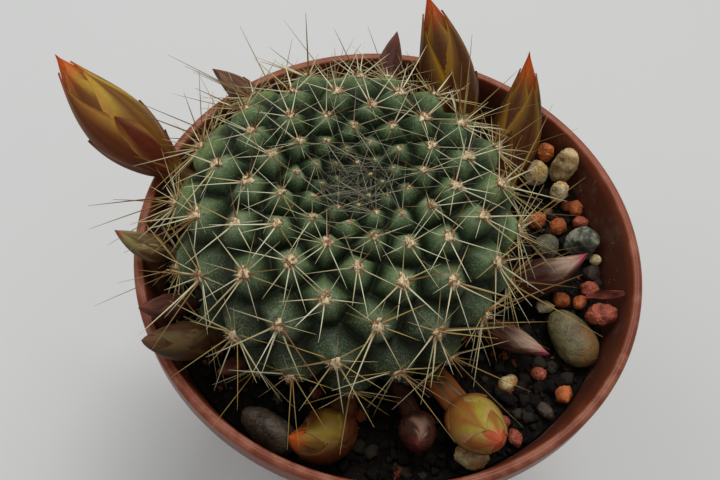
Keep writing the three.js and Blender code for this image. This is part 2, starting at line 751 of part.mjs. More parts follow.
function makeNeedles() {
  const random = seededRandom(41);
  const obstacles = [...budObstacles(), ...stoneObstacles()];
  const up = new THREE.Vector3(0, 1, 0);
  const solids = [];
  tips.forEach((tip, order) => {
    const normal = outward(tip);
    const down = onFlank(rowAt('s', tip.row.s + 0.5), tip.angle).sub(tip.base).normalize();
    const side = new THREE.Vector3().crossVectors(normal, down);
    const age = THREE.MathUtils.smoothstep(tip.row.s, spiral.start, needle.grown);
    for (let i = 0; i < needle.perAreole; i++) {
      const central = i === 0;
      const full = central ? needle.centralLength : needle.radialLength;
      for (let attempt = 0; attempt < needle.tries; attempt++) {
        const swing = (order * 0.9 + (i / needle.perAreole) * 2 + 0.5 * random()) * Math.PI;
        const basePitch = central ? needle.centralPitch : needle.radialPitch;
        const pitch = radians(basePitch + 16 * (random() - 0.5) + 3 * attempt);
        const grown = central ? age * age : age;
        const length = THREE.MathUtils.lerp(needle.crownLength, full, grown) * (0.82 + 0.36 * random());
        const flat = down.clone().multiplyScalar(Math.cos(swing)).addScaledVector(side, Math.sin(swing));
        const toward = normal.clone().multiplyScalar(Math.sin(pitch)).addScaledVector(flat, Math.cos(pitch));
        const from = tip.base.clone()
          .addScaledVector(flat, Math.min(needle.spread, needle.spreadPerSpacing * tip.spacing))
          .addScaledVector(normal, -needle.sunk);
        if (!isClear(from, toward, length + needle.pastTip, obstacles)) continue;
        const turned = new THREE.Quaternion().setFromUnitVectors(up, toward);
        const centre = from.clone().addScaledVector(toward, length / 2);
        const geometry = new THREE.ConeGeometry(needle.radius, length, 3)
          .applyQuaternion(turned)
          .translate(centre.x, centre.y, centre.z);
        solids.push(toSolid(geometry));
        break;
      }
    }
  });
  return solids;
}

// Assembly

const budColors = { ripe: 0xa8662a, middle: 0x9c7a33, young: 0x8a4f48 };
const stoneColors = {
  pale: 0x8d9078,
  grey: 0x6f6c64,
  dark: 0x3f4541,
  cream: 0xb5aa84,
  orange: 0xa8522c,
  red: 0x86463c,
  tan: 0xa08257,
};

const group = new THREE.Group();
group.add(piece('pot', toGeometry(makePot()), 0x9c5240, 0.4));

const topDressing = new THREE.Group();
let soilBody = makeSoil();
for (const stone of stones) {
  const mesh = piece(`stone_${stone.name}`, stoneGeometry(stone, 0), stoneColors[stone.look], 0.8);
  placeStone(stone, mesh);
  topDressing.add(mesh);
  soilBody = soilBody.subtract(toSolid(stoneGeometry(stone, clearance), mesh.matrix));
}
topDressing.add(piece('dried_petal', petalGeometry(), 0x8c4a36, 0.7));
group.add(topDressing);

const plantGroup = new THREE.Group();
plantGroup.position.set(...plant.centre);
plantGroup.updateMatrixWorld();
const standing = makeBody(0);
const grown = makeBody(clearance);
plantGroup.add(piece('cactus', toGeometry(joinMany([standing, ...makeNeedles()])), 0x3f5a3c, 0.7));
buds.forEach((bud, i) => {
  const solid = largestPiece(makeBud(bud).subtract(grown));
  plantGroup.add(piece(`bud_${i + 1}`, toGeometry(solid), budColors[bud.kind], 0.5));
});
group.add(plantGroup);

const socketSolid = toSolid(skirtGeometry(clearance)).add(toSolid(rootGeometry(clearance)));
const socket = toSolid(toGeometry(socketSolid), plantGroup.matrix);
group.add(piece('soil', toGeometry(largestPiece(soilBody.subtract(socket))), 0x2b221c, 0.95));

export default group;
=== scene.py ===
import json
import math
import random

import bpy
import numpy as np
from mathutils import Matrix, Vector, noise


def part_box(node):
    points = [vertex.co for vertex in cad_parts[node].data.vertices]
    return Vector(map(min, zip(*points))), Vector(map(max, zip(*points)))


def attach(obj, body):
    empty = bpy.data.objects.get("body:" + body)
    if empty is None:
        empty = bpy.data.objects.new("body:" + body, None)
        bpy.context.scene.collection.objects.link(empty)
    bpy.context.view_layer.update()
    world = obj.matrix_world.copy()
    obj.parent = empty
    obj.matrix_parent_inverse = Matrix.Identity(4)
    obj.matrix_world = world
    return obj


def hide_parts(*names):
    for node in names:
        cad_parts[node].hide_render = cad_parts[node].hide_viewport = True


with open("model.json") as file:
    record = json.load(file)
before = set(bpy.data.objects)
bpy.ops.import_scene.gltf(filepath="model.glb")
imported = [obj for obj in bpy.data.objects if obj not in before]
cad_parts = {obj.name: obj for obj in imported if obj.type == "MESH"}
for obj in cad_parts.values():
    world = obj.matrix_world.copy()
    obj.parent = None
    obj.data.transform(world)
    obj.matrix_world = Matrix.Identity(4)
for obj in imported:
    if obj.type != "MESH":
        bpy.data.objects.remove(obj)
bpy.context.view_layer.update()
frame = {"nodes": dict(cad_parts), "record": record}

# A round cactus in bud in a small plastic pot. Sizes are in millimetres and angles in degrees;
# heights are over the pot's foot, the plant's own are over its widest ring.
mm = 0.001
goldenTurn = math.pi * (3 - math.sqrt(5))


# Shaders


class Value:
    # An output socket; sums, differences and products of these add Math nodes

    def __init__(self, surface, socket):
        self.surface = surface
        self.socket = socket

    def math(self, operation, first, second):
        return self.surface.node("Math", {"operation": operation}, {0: first, 1: second})

    def __add__(self, other):
        return self.math("ADD", self, other)

    def __radd__(self, other):
        return self.math("ADD", other, self)

    def __sub__(self, other):
        return self.math("SUBTRACT", self, other)

    def __rsub__(self, other):
        return self.math("SUBTRACT", other, self)

    def __mul__(self, other):
        return self.math("MULTIPLY", self, other)

    def __rmul__(self, other):
        return self.math("MULTIPLY", other, self)

    # 0 under the low value, 1 over the high one, smooth between them
    def step(self, low, high):
        return self.surface.node("MapRange", {"interpolation_type": "SMOOTHSTEP"}, {
            "Value": self, "From Min": low, "From Max": high})

    # This colour turned towards another one by a share
    def mix(self, share, color):
        return self.surface.mix(share, self, color)


class Surface:
    # A material on the principled shader

    def __init__(self, name, specular=0.5, ior=1.5):
        self.material = bpy.data.materials.new(name)
        self.material.use_nodes = True
        self.tree = self.material.node_tree
        self.shader = self.tree.nodes["Principled BSDF"]
        self.shader.inputs["Specular IOR Level"].default_value = specular
        self.shader.inputs["IOR"].default_value = ior
        self.place = self.node("TexCoord", out="Object")

    def node(self, kind, settings=None, values=None, out=0):
        made = self.tree.nodes.new("ShaderNode" + kind)
        for key, value in (settings or {}).items():
            if key == "stops":
                self.setStops(made.color_ramp, value)
            else:
                setattr(made, key, value)
        for key, value in (values or {}).items():
            self.feed(made.inputs[key], value)
        return Value(self, made.outputs[out])

    def setStops(self, ramp, stops):
        while len(ramp.elements) < len(stops):
            ramp.elements.new(1.0)
        for element, (position, color) in zip(ramp.elements, stops):
            element.position = position
            element.color = (*color, 1.0)

    def feed(self, socket, value):
        if isinstance(value, Value):
            self.tree.links.new(value.socket, socket)
        elif isinstance(value, tuple) and socket.type == "RGBA":
            socket.default_value = (*value, 1.0)
        else:
            socket.default_value = value

    # Lumps of a size in millimetres, between 0 and 1
    def lumps(self, size, detail=3.0, rough=0.55, stretch=(1.0, 1.0, 1.0)):
        place = self.node("Mapping", {}, {"Vector": self.place, "Scale": stretch})
        return self.node("TexNoise", {}, {
            "Vector": place, "Scale": 1.0 / (size * mm), "Detail": detail, "Roughness": rough})

    # Distance to scattered points, in shares of their spacing in millimetres
    def cells(self, size):
        return self.node("TexVoronoi", {}, {"Vector": self.place, "Scale": 1.0 / (size * mm)}, "Distance")

    def axis(self, name):
        return self.node("SeparateXYZ", {}, {0: self.place}, name)

    def mix(self, share, first, second):
        return self.node("Mix", {"data_type": "RGBA"}, {0: share, 6: first, 7: second}, 2)

    # What the vertex colours or a vertex mask say at a point
    def tint(self):
        return self.node("Attribute", {"attribute_name": "tint"}, {}, "Color")

    def mask(self, name):
        return self.node("Attribute", {"attribute_name": name}, {}, "Fac")

    # Sets the shader's colour and roughness, and its bumps as pairs of a height and a depth in
    # millimetres, the finest first
    def finish(self, color, roughness, *bumps):
        sockets = {"Base Color": color, "Roughness": roughness}
        for height, depth in reversed(bumps):
            values = {"Height": height, "Strength": 1.0, "Distance": depth * mm}
            if "Normal" in sockets:
                values["Normal"] = sockets["Normal"]
            sockets["Normal"] = self.node("Bump", {}, values, "Normal")
        for key, value in sockets.items():
            self.feed(self.shader.inputs[key], value)
        return self


# Meshes


def addObject(name, data):
    made = bpy.data.objects.new(name, data)
    bpy.context.scene.collection.objects.link(made)
    return made


def addMask(mesh, name, values):
    layer = mesh.attributes.new(name, "FLOAT", "POINT")
    layer.data.foreach_set("value", np.asarray(values, dtype=float).ravel())


def addPiece(name, points, faces, surface, nodes=(), tint=None, masks=None):
    mesh = bpy.data.meshes.new(name)
    mesh.from_pydata((np.asarray(points, dtype=float) * mm).tolist(), [], faces)
    mesh.shade_smooth()
    if tint is not None:
        colors = np.ones((len(mesh.vertices), 4))
        colors[:, :3] = tint
        layer = mesh.color_attributes.new("tint", "FLOAT_COLOR", "POINT")
        layer.data.foreach_set("color", colors.ravel())
    for key, values in (masks or {}).items():
        addMask(mesh, key, values)
    mesh.materials.append(surface.material)
    piece = addObject(name, mesh)
    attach(piece, "root")
    if nodes:
        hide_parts(*nodes)
    return piece


# A mesh's points in millimetres
def pointsOf(mesh):
    spots = np.empty(len(mesh.vertices) * 3)
    mesh.vertices.foreach_get("co", spots)
    return spots.reshape(-1, 3) / mm


# Faces of a net with rows and columns of points, closed round its columns or not
def netFaces(rows, columns, closed=True, first=0):
    row = np.arange(rows - 1)[:, None] * columns
    column = np.arange(columns if closed else columns - 1)[None, :]
    after = (column + 1) % columns
    corners = [row + column, row + after, row + columns + after, row + columns + column]
    return (np.stack([c + 0 * row for c in corners], axis=-1).reshape(-1, 4) + first).tolist()


# Faces of a sheet with thickness: its upper net, its under net, and the edge between them
def sheetFaces(rows, columns):
    count = rows * columns
    net = netFaces(rows, columns, False)
    back = [tuple(reversed([corner + count for corner in face])) for face in net]
    rim = list(range(columns)) + [r * columns + columns - 1 for r in range(1, rows)]
    rim += [(rows - 1) * columns + c for c in range(columns - 2, -1, -1)]
    rim += [r * columns for r in range(rows - 2, 0, -1)]
    return net + back + [(a, b, b + count, a + count) for a, b in zip(rim, rim[1:] + rim[:1])]


# Even turns round a circle, in radians
def turns(count):
    return np.arange(count) * 2 * math.pi / count


# Points round the upright axis
def ringed(radius, turn, z):
    return np.stack([radius * np.cos(turn), radius * np.sin(turn), z + 0 * turn], axis=-1)


def smooth(value, low, high):
    share = np.clip((np.asarray(value, dtype=float) - low) / (high - low), 0, 1)
    return share * share * (3 - 2 * share)


def unit(vectors):
    return vectors / np.maximum(np.linalg.norm(vectors, axis=-1, keepdims=True), 1e-9)


def headed(heading, pitch):
    flat = math.cos(math.radians(pitch))
    return np.array([
        flat * math.cos(math.radians(heading)),
        flat * math.sin(math.radians(heading)),
        math.sin(math.radians(pitch))])


# A curve from its start to its end that bends towards a point over it, and its direction
def curveAt(start, over, end, t):
    return (1 - t) ** 2 * start + 2 * t * (1 - t) * over + t ** 2 * end


def headingAt(start, over, end, t):
    return unit((1 - t) * (over - start) + t * (end - over))


def mixed(first, second, share):
    share = np.asarray(share, dtype=float)[..., None]
    return np.asarray(first) * (1 - share) + np.asarray(second) * share


# Smooth lumps between -1 and 1 at each point
def lumpsAt(points, size, seed=0.0):
    shift = Vector((seed, seed * 1.7, seed * 0.6))
    return np.array([noise.noise(Vector(p) / size + shift) for p in np.asarray(points).tolist()])


# Thin round stalks along lines of points, each line with its own widths and colours
def sweepStalks(lines, widths, tints, sides):
    lines, widths, tints = np.array(lines), np.array(widths), np.array(tints)
    count, steps = widths.shape
    along = unit(lines[:, -1] - lines[:, 0])
    helper = np.where(np.abs(along[:, 2:3]) < 0.9, [[0.0, 0.0, 1.0]], [[1.0, 0.0, 0.0]])
    side = unit(np.cross(along, helper))
    over = np.cross(along, side)
    turn = turns(sides)
    rim = side[:, None, :] * np.cos(turn)[None, :, None] + over[:, None, :] * np.sin(turn)[None, :, None]
    points = lines[:, :, None, :] + widths[:, :, None, None] * rim[:, None, :, :]
    one = np.array(netFaces(steps, sides))
    faces = (one[None] + (np.arange(count) * steps * sides)[:, None, None]).reshape(-1, 4).tolist()
    return points.reshape(-1, 3), faces, np.repeat(tints.reshape(-1, 3), sides, axis=0)


# Camera, floor and light

camera = {
    "target": (-5.55, -1.38, 75.0),
    "distance": 142.0,
    "elevation": 58.42,
    "roll": 6.88,
    "lens": 40.1,
    "sensor": 36,
    "nearest": 10,
}


def makeCamera():
    elevation, roll = math.radians(camera["elevation"]), math.radians(camera["roll"])
    forward = Vector((0, math.cos(elevation), -math.sin(elevation)))
    right = Vector((1, 0, 0))
    up = right.cross(forward)
    across = right * math.cos(roll) + up * math.sin(roll)
    upright = up * math.cos(roll) - right * math.sin(roll)
    seen = bpy.data.cameras.new("camera")
    seen.sensor_width = camera["sensor"]
    seen.lens = camera["lens"]
    seen.clip_start = camera["nearest"] * mm
    holder = addObject("camera", seen)
    turned = Matrix((across, upright, -forward)).transposed().to_4x4()
    place = (Vector(camera["target"]) - forward * camera["distance"]) * mm
    holder.matrix_world = Matrix.Translation(place) @ turned
    bpy.context.scene.camera = holder


studio = {
    "floorSize": 4000,
    "floorColors": [(0.6, 0.615, 0.62), (0.558, 0.572, 0.577)],
    "floorPatches": 160,
    "sky": (1.0, 0.995, 0.97),
    "skyStrength": 0.46,
    "lights": [
        {"place": (140, 500, 1200), "aim": (0, 0, 60), "size": 600, "watts": 8.5, "color": (1.0, 0.98, 0.95)},
        {"place": (-420, 60, 560), "aim": (0, 0, 50), "size": 420, "watts": 0.8, "color": (0.96, 0.98, 1.0)},
    ],
}


def makeStudio():
    half = studio["floorSize"] / 2 * mm
    mesh = bpy.data.meshes.new("floor")
    corners = [(-half, -half, 0), (half, -half, 0), (half, half, 0), (-half, half, 0)]
    mesh.from_pydata(corners, [], [(0, 1, 2, 3)])
    floor = addObject("floor", mesh)
    surface = Surface("paleFloor")
    patches = surface.lumps(studio["floorPatches"], 2.0)
    surface.finish(surface.mix(patches, *studio["floorColors"]), 0.6)
    mesh.materials.append(surface.material)
    for number, lamp in enumerate(studio["lights"]):
        data = bpy.data.lights.new(f"lamp{number}", "AREA")
        data.energy = lamp["watts"]
        data.size = lamp["size"] * mm
        data.color = lamp["color"]
        holder = addObject(f"lamp{number}", data)
        holder.location = Vector(lamp["place"]) * mm
        aim = Vector(lamp["aim"]) - Vector(lamp["place"])
        holder.rotation_euler = aim.to_track_quat("-Z", "Y").to_euler()
    world = bpy.data.worlds.new("softSky")
    world.use_nodes = True
    sky = world.node_tree.nodes["Background"]
    sky.inputs["Color"].default_value = (*studio["sky"], 1.0)
    sky.inputs["Strength"].default_value = studio["skyStrength"]
    bpy.context.scene.world = world
    bpy.context.scene.view_settings.view_transform = "Standard"


makeCamera()
makeStudio()
print("camera, floor and light are set")


# Pot

pot = {
    "height": 75.0,
    "rimRadius": 45.0,
    "bandHeight": 5.0,
    "lipWidth": 1.75,
    "lipRound": 0.8,
    "innerRound": 0.45,  # the lip's inner edge
    "lipFall": 0.1,  # how much lower that edge is
    "edge": 0.6,  # edges of the band and the foot
    "fillet": 0.4,  # under the band
    "footRound": 0.3,  # inner edges of the foot
    "wall": 1.4,
    "taper": 0.2,
    "floor": 2.0,
    "heel": 3.0,
    "heelWidth": 2.0,
    "footWidth": 5.0,
    "discRadius": 10.0,
    "recess": 1.0,
    "holes": 8,
    "holeRadius": 3.0,
    "holeCircle": 18.0,
    "holeSides": 32,
    "notches": 4,
    "notchWidth": 5.0,
    "sides": 192,
    "sharpAngle": 40,
    "clay": [(0.222, 0.054, 0.024), (0.256, 0.067, 0.031)],
    # painted shade on the pot's front, the side away from the lamp
    "front": (0.1, 0.02, 0.009),
    "grain": (0.14, 0.032, 0.016),
    # painted shade down the pot's inner wall
    "inside": (0.07, 0.023, 0.013),
    "dust": (0.3, 0.22, 0.17),
    "handled": (0.48, 0.2, 0.12),
}


def innerRadius(z):
    return pot["rimRadius"] - pot["lipWidth"] - pot["taper"] * (pot["height"] - z)


def arc(centre, radius, start, end, steps):
    angles = np.radians(np.linspace(start, end, steps))
    return [(centre[0] + radius * math.cos(a), centre[1] + radius * math.sin(a)) for a in angles]


# The pot's section from the middle of its underside, up the outside and down the inside
def potProfile():
    bandFoot = pot["height"] - pot["bandHeight"]
    rim, top, edge, lip = pot["rimRadius"], pot["height"], pot["edge"], pot["lipRound"]
    disc, recess, tight, fillet = pot["discRadius"], pot["recess"], pot["footRound"], pot["fillet"]
    foot = innerRadius(0) + pot["wall"]
    ring = foot - pot["footWidth"]
    bandUnder = innerRadius(bandFoot) + pot["wall"]
    inside, inner, fall = innerRadius(top), pot["innerRound"], pot["lipFall"]
    lathe = [(0, 0), (disc - tight, 0)] + arc((disc - tight, tight), tight, -90, 0, 4)
    lathe += [(disc, recess), (ring, recess), (ring, tight)]
    lathe += arc((ring + tight, tight), tight, 180, 270, 4)
    lathe += arc((foot - edge, edge), edge, -90, 0, 7)
    lathe += [(foot + (bandUnder - foot) * k / 8, bandFoot * k / 8) for k in range(1, 8)]
    lathe += arc((bandUnder + fillet, bandFoot - fillet), fillet, 180, 90, 5)
    lathe += arc((rim - edge, bandFoot + edge), edge, -90, 0, 7)
    lathe += [(rim, bandFoot + 3 * edge), (rim, bandFoot + 5 * edge)]
    lathe += arc((rim - lip, top - lip), lip, 0, 90, 9)
    lathe += [(rim - lip - 2 * fall, top - 0.2 * fall), (inside + 6 * fall, top - 0.8 * fall)]
    lathe += arc((inside + inner, top - fall - inner), inner, 80, 180, 7)
    lathe += [(innerRadius(z), z) for z in np.linspace(top - 2.5, pot["floor"] + pot["heel"], 22)]
    lathe += [(innerRadius(pot["floor"]) - pot["heelWidth"], pot["floor"]), (0, pot["floor"])]
    return lathe


# Takes each cutter's form out of the mesh
def cutPot(shape, cutters):
    for cutter in cutters:
        modifier = shape.modifiers.new("cut", "BOOLEAN")
        modifier.operation = "DIFFERENCE"
        modifier.object = cutter
        modifier.solver = "EXACT"
        graph = bpy.context.evaluated_depsgraph_get()
        made = bpy.data.meshes.new_from_object(shape.evaluated_get(graph))
        shape.modifiers.clear()
        shape.data = made
        bpy.data.objects.remove(cutter)


# Drain holes through the floor, and notches under the foot ring that let the water out
def makeHoleCutters():
    cutters = []
    for i in range(pot["holes"]):
        angle = (i + 0.5) / pot["holes"] * 2 * math.pi
        centre = pot["holeCircle"] * np.array([math.cos(angle), math.sin(angle)])
        around = turns(pot["holeSides"])
        rim = centre + pot["holeRadius"] * np.stack([np.cos(around), np.sin(around)], axis=-1)
        cutters.append(prism(rim, -2 * pot["floor"], 3 * pot["floor"]))
    foot = innerRadius(0) + pot["wall"]
    for angle in turns(pot["notches"]):
        along = np.array([math.cos(angle), math.sin(angle)])
        across = np.array([-along[1], along[0]]) * pot["notchWidth"] / 2
        near, far = along * (foot - 1.5 * pot["footWidth"]), along * (foot + 1.5 * pot["footWidth"])
        outline = [near - across, far - across, far + across, near + across]
        cutters.append(prism(outline, -pot["recess"], pot["recess"]))
    return cutters


def prism(outline, low, high):
    count = len(outline)
    points = [(*p, low) for p in outline] + [(*p, high) for p in outline]
    mesh = bpy.data.meshes.new("cutter")
    sides = [(i, (i + 1) % count, count + (i + 1) % count, count + i) for i in range(count)]
    caps = [tuple(reversed(range(count))), tuple(range(count, 2 * count))]
    mesh.from_pydata((np.array(points) * mm).tolist(), [], sides + caps)
    return addObject("cutter", mesh)


def potSurface():
    surface = Surface("terracottaPlastic", specular=0.17, ior=1.46)
    clouds = surface.lumps(14, 4.0)
    grain = surface.lumps(0.5, 2.0)
    scratches = surface.lumps(1.6, 3.0, stretch=(1.0, 1.0, 9.0))
    color = surface.mix(clouds.step(0.35, 0.7), *pot["clay"])
    # Painted shade: the clay turns darker towards the pot's front, away from the lamp
    behind = surface.axis("Y").step(-0.022, 0.025)
    color = color.mix(0.58 - behind * 0.58, pot["front"])
    color = color.mix(grain.step(0.5, 0.75) * 0.2, pot["grain"])
    # The inside mask paints shade down the inner wall, darkest near the soil; it also lays the dust and the
    # rougher finish there
    inside = surface.mask("inside")
    color = color.mix(inside * 0.85, pot["inside"])
    patches = surface.lumps(9, 5.0, 0.65).step(0.5, 0.75)
    specks = (1 - surface.cells(1.1).step(0.1, 0.22)) * surface.lumps(5, 2.0).step(0.52, 0.62)
    dust = patches * 0.35 + specks * 0.75
    color = color.mix(dust * inside, pot["dust"])
    handled = surface.axis("Z").step(0.0735, 0.0752) * surface.lumps(4, 4.0).step(0.42, 0.62)
    color = color.mix(handled * 0.3, pot["handled"])
    roughness = 0.27 + clouds * 0.1 + inside * 0.28 + dust * 0.2
    return surface.finish(color, roughness, (scratches, 0.03), (grain, 0.02))


# How far the pot's inside is in shade: less near the rim, and least where the light falls in front
def insideShade(points):
    within = np.hypot(points[:, 0], points[:, 1]) < innerRadius(points[:, 2]) + 0.05
    within = within & (points[:, 2] > pot["floor"] - 0.1)
    lit = smooth(-points[:, 1], 5, 35)
    shade = smooth(pot["height"] - points[:, 2], 0.3 + 1.2 * lit, 2.2 + 4.5 * lit)
    return np.where(within, shade, 0.0)


def makePot():
    profile = np.array(potProfile())
    sides = pot["sides"]
    rings = profile[1:-1]
    ring = ringed(rings[:, :1], turns(sides), rings[:, 1:])
    points = np.vstack([ring.reshape(-1, 3), [[0, 0, profile[0][1]], [0, 0, profile[-1][1]]]])
    faces = netFaces(len(rings), sides)
    last = len(rings) * sides
    for i in range(sides):
        after = (i + 1) % sides
        faces.append((last, after, i))
        faces.append((last + 1, last - sides + i, last - sides + after))
    piece = addPiece("pottedPot", points, faces, potSurface(), ["pot"])
    cutPot(piece, makeHoleCutters())
    addMask(piece.data, "inside", insideShade(pointsOf(piece.data)))
    piece.data.shade_smooth()
    piece.modifiers.new("edges", "EDGE_SPLIT").split_angle = math.radians(pot["sharpAngle"])


makePot()
print("pot made")


# Cactus body: rings down its flank, with a dip at the crown

plant = {
    "centre": (-8.5, -0.5, 76.8),
    "radius": 29.7,
    "rise": 17.3,
    "shoulder": 3.04,
    "drop": 20.0,
    "lean": 0.078,
    "dimple": 3.0,
    "dimpleRadius": 9.0,
    "collar": -15.0,
    "smoothBelow": -8.5,
    "root": [(20.2, -15.5), (18.2, -16.5), (13, -22.5), (7.5, -29), (3.2, -35.2), (0.1, -36)],
    "rows": 222,
    "columns": 420,
    # the skin's colours; their near-black groove end is painted shade
    "skin": [
        (0.0, (0.003, 0.007, 0.0015)),
        (0.24, (0.015, 0.033, 0.006)),
        (0.5, (0.052, 0.097, 0.026)),
        (0.88, (0.18, 0.265, 0.11)),
    ],  # from the grooves up to the tips
    "pale": (0.22, 0.3, 0.14),
    # older yellowed skin, laid on the lit back and sides, so partly painted light
    "yellow": (0.22, 0.28, 0.07),
    # painted shade on the flank's front and low ring, with some soil low down
    "soiled": (0.011, 0.014, 0.005),
    # pale waxy bloom on the tops, partly a painted sheen
    "bloom": (0.27, 0.33, 0.22),
    "freckles": (0.34, 0.42, 0.3),
    "dots": (0.56, 0.62, 0.5),
    # painted shade in the crown's hollow
    "hollow": (0.01, 0.014, 0.007),
}

# Tubercle number n stands at the arc length start + step n + growth n^2 from the crown
spiral = {
    "count": 118,
    "phase": 0.675,
    "start": 2.82,
    "step": 0.279,
    "growth": 0.0015,
    "lowest": -9.5,
    "depth": 3.7,
    "depthPerSpacing": 0.54,
}


class Flank:
    # The body's outline, found at an arc length from the crown

    def __init__(self):
        lowest = math.asin(plant["collar"] / plant["drop"])
        angle = np.linspace(math.pi / 2, lowest, 401)[1:]
        above = angle > 0
        power = np.where(above, 2 / plant["shoulder"], 1.0)
        self.r = plant["radius"] * np.cos(angle) ** power
        height = np.where(above, plant["rise"], plant["drop"])
        dip = np.where(above, plant["dimple"] * np.exp(-((self.r / plant["dimpleRadius"]) ** 2)), 0)
        self.z = height * np.sign(np.sin(angle)) * np.abs(np.sin(angle)) ** power - dip
        strides = np.hypot(np.diff(self.r), np.diff(self.z))
        self.s = self.r[0] + np.concatenate([[0], np.cumsum(strides)])
        self.nr = -np.gradient(self.z, self.s)
        self.nz = np.gradient(self.r, self.s)
        self.end = self.s[-1]

    def at(self, s):
        s = np.asarray(s, dtype=float)
        near = s < self.s[0]
        r = np.where(near, s, np.interp(s, self.s, self.r))
        z = np.interp(s, self.s, self.z)
        nr = np.where(near, 0, np.interp(s, self.s, self.nr))
        nz = np.where(near, 1, np.interp(s, self.s, self.nz))
        return r, z, nr, nz

    # Points on the leaning body, raised along its normal by lift
    def point(self, s, angle, lift=0.0):
        r, z, nr, nz = self.at(s)
        r, z = r + nr * lift, z + nz * lift
        return np.stack([r * np.cos(angle) + plant["lean"] * z, r * np.sin(angle), z + 0 * angle], axis=-1)


flank = Flank()


# The tubercles' tips: how far down they stand, how far apart, and which way is out, down and aside
def makeTips():
    number = np.arange(spiral["count"])
    s = spiral["start"] + spiral["step"] * number + spiral["growth"] * number ** 2
    r, z = flank.at(s)[:2]
    stride = spiral["step"] + 2 * spiral["growth"] * number
    kept = z >= spiral["lowest"]
    angle = spiral["phase"] + number * goldenTurn
    spacing = np.sqrt(2 / math.sqrt(3) * 2 * math.pi * r * stride)
    base = flank.point(s, angle)
    out = unit(flank.point(s, angle, 1.0) - base)
    down = unit(flank.point(s + 0.5, angle) - base)
    return {
        "s": s[kept], "angle": angle[kept], "spacing": spacing[kept], "base": base[kept],
        "out": out[kept], "down": down[kept], "side": np.cross(out, down)[kept]}


tips = makeTips()
origin = np.array(plant["centre"])


# How near each point is to a tubercle's tip, from 0 in the grooves to 1, how deep the grooves are
# there and how far away the tip is
def relief(points, z):
    nearest, second, spacing = np.empty((3, len(points)))
    batch = 12000
    for start in range(0, len(points), batch):
        part = slice(start, start + batch)
        gap = np.linalg.norm(points[part, None, :] - tips["base"][None], axis=2) / tips["spacing"][None]
        order = np.argpartition(gap, 1, axis=1)[:, :2]
        pair = np.take_along_axis(gap, order, axis=1)
        nearest[part] = pair.min(axis=1)
        second[part] = pair.max(axis=1)
        own = np.where(pair[:, 0] <= pair[:, 1], order[:, 0], order[:, 1])
        spacing[part] = tips["spacing"][own]
    height = np.clip(second - nearest, 0, 1)
    depth = np.minimum(spiral["depth"], spiral["depthPerSpacing"] * spacing)
    fade = smooth(z, plant["collar"] + 3, plant["smoothBelow"])
    return height, depth * fade, nearest * spacing


def bodySurface():
    surface = Surface("cactusSkin", specular=0.28)
    height = surface.mask("ridge")
    patches = surface.lumps(3.2, 4.0)
    fine = surface.lumps(0.35, 3.0, 0.7)
    raised = height + (patches - 0.5) * 0.36
    # The colour darkens from the tips into the grooves, where the near-black end is painted shade
    color = surface.node("ValToRGB", {"stops": plant["skin"]}, {0: raised})
    color = color.mix(surface.mask("pale") * height.step(0.1, 0.6) * 0.3, plant["pale"])
    # Yellowed older skin on the flank, kept to the lit back and sides, so it partly paints their light
    yellowedLitSide = surface.mask("age") * patches.step(0.36, 0.66) * height.step(0.1, 0.5)
    color = color.mix(yellowedLitSide * 0.75, plant["yellow"])
    # Painted shade: darker low on the flank and darkest on the front, away from the lamp; low down it also
    # stands for soil
    color = color.mix(surface.mask("soiled") * 0.88, plant["soiled"])
    # Pale waxy bloom on the tubercles' tops, which also paints the sheen the tops catch
    bloom = surface.lumps(1.7, 4.0, 0.6).step(0.42, 0.68) * height.step(0.3, 0.85)
    color = color.mix(bloom * 0.5, plant["bloom"])
    freckles = surface.lumps(0.28, 2.0, 0.8).step(0.5, 0.66)
    color = color.mix(freckles * height.step(0.05, 0.5) * 0.34, plant["freckles"])
    dots = 1 - surface.cells(0.42).step(0.06, 0.17)
    color = color.mix(dots * height.step(0.0, 0.4) * 0.5, plant["dots"])
    # Painted shade in the crown's hollow
    color = color.mix(surface.mask("hollow") * 0.7, plant["hollow"])
    return surface.finish(color, 0.36 + fine * 0.26, (freckles, 0.04), (fine, 0.07), (patches, 0.25))


# Where the skin is old and yellow (kept to the lit back and sides, so partly painted light), where it is
# pale, where it is darkened low on the flank and most on the front (painted shade, with some soil low down),
# and the painted shade in the crown's hollow
def bodyMasks(s, angle):
    towardFront = -np.sin(angle)
    # Painted shade, strongest on the front and low on the flank, with some soil on the lowest ring
    soiled = smooth(s, 30, 44) * (0.35 + 0.65 * smooth(towardFront, -0.2, 0.5))
    return {
        # old yellow skin, kept off the front, so partly painted light on the lit back and sides
        "age": smooth(s, 18, 34) * (1 - smooth(towardFront, -0.1, 0.6)),
        "pale": smooth(s, 7, 13) * (1 - smooth(s, 19, 28)) * smooth(towardFront, -0.7, 0.2),
        "soiled": np.maximum(soiled, 0.85 * smooth(s, 15, 31) * smooth(towardFront, 0.0, 0.9)),
        # painted shade in the crown's hollow
        "hollow": 1 - smooth(s, 3, 9)}


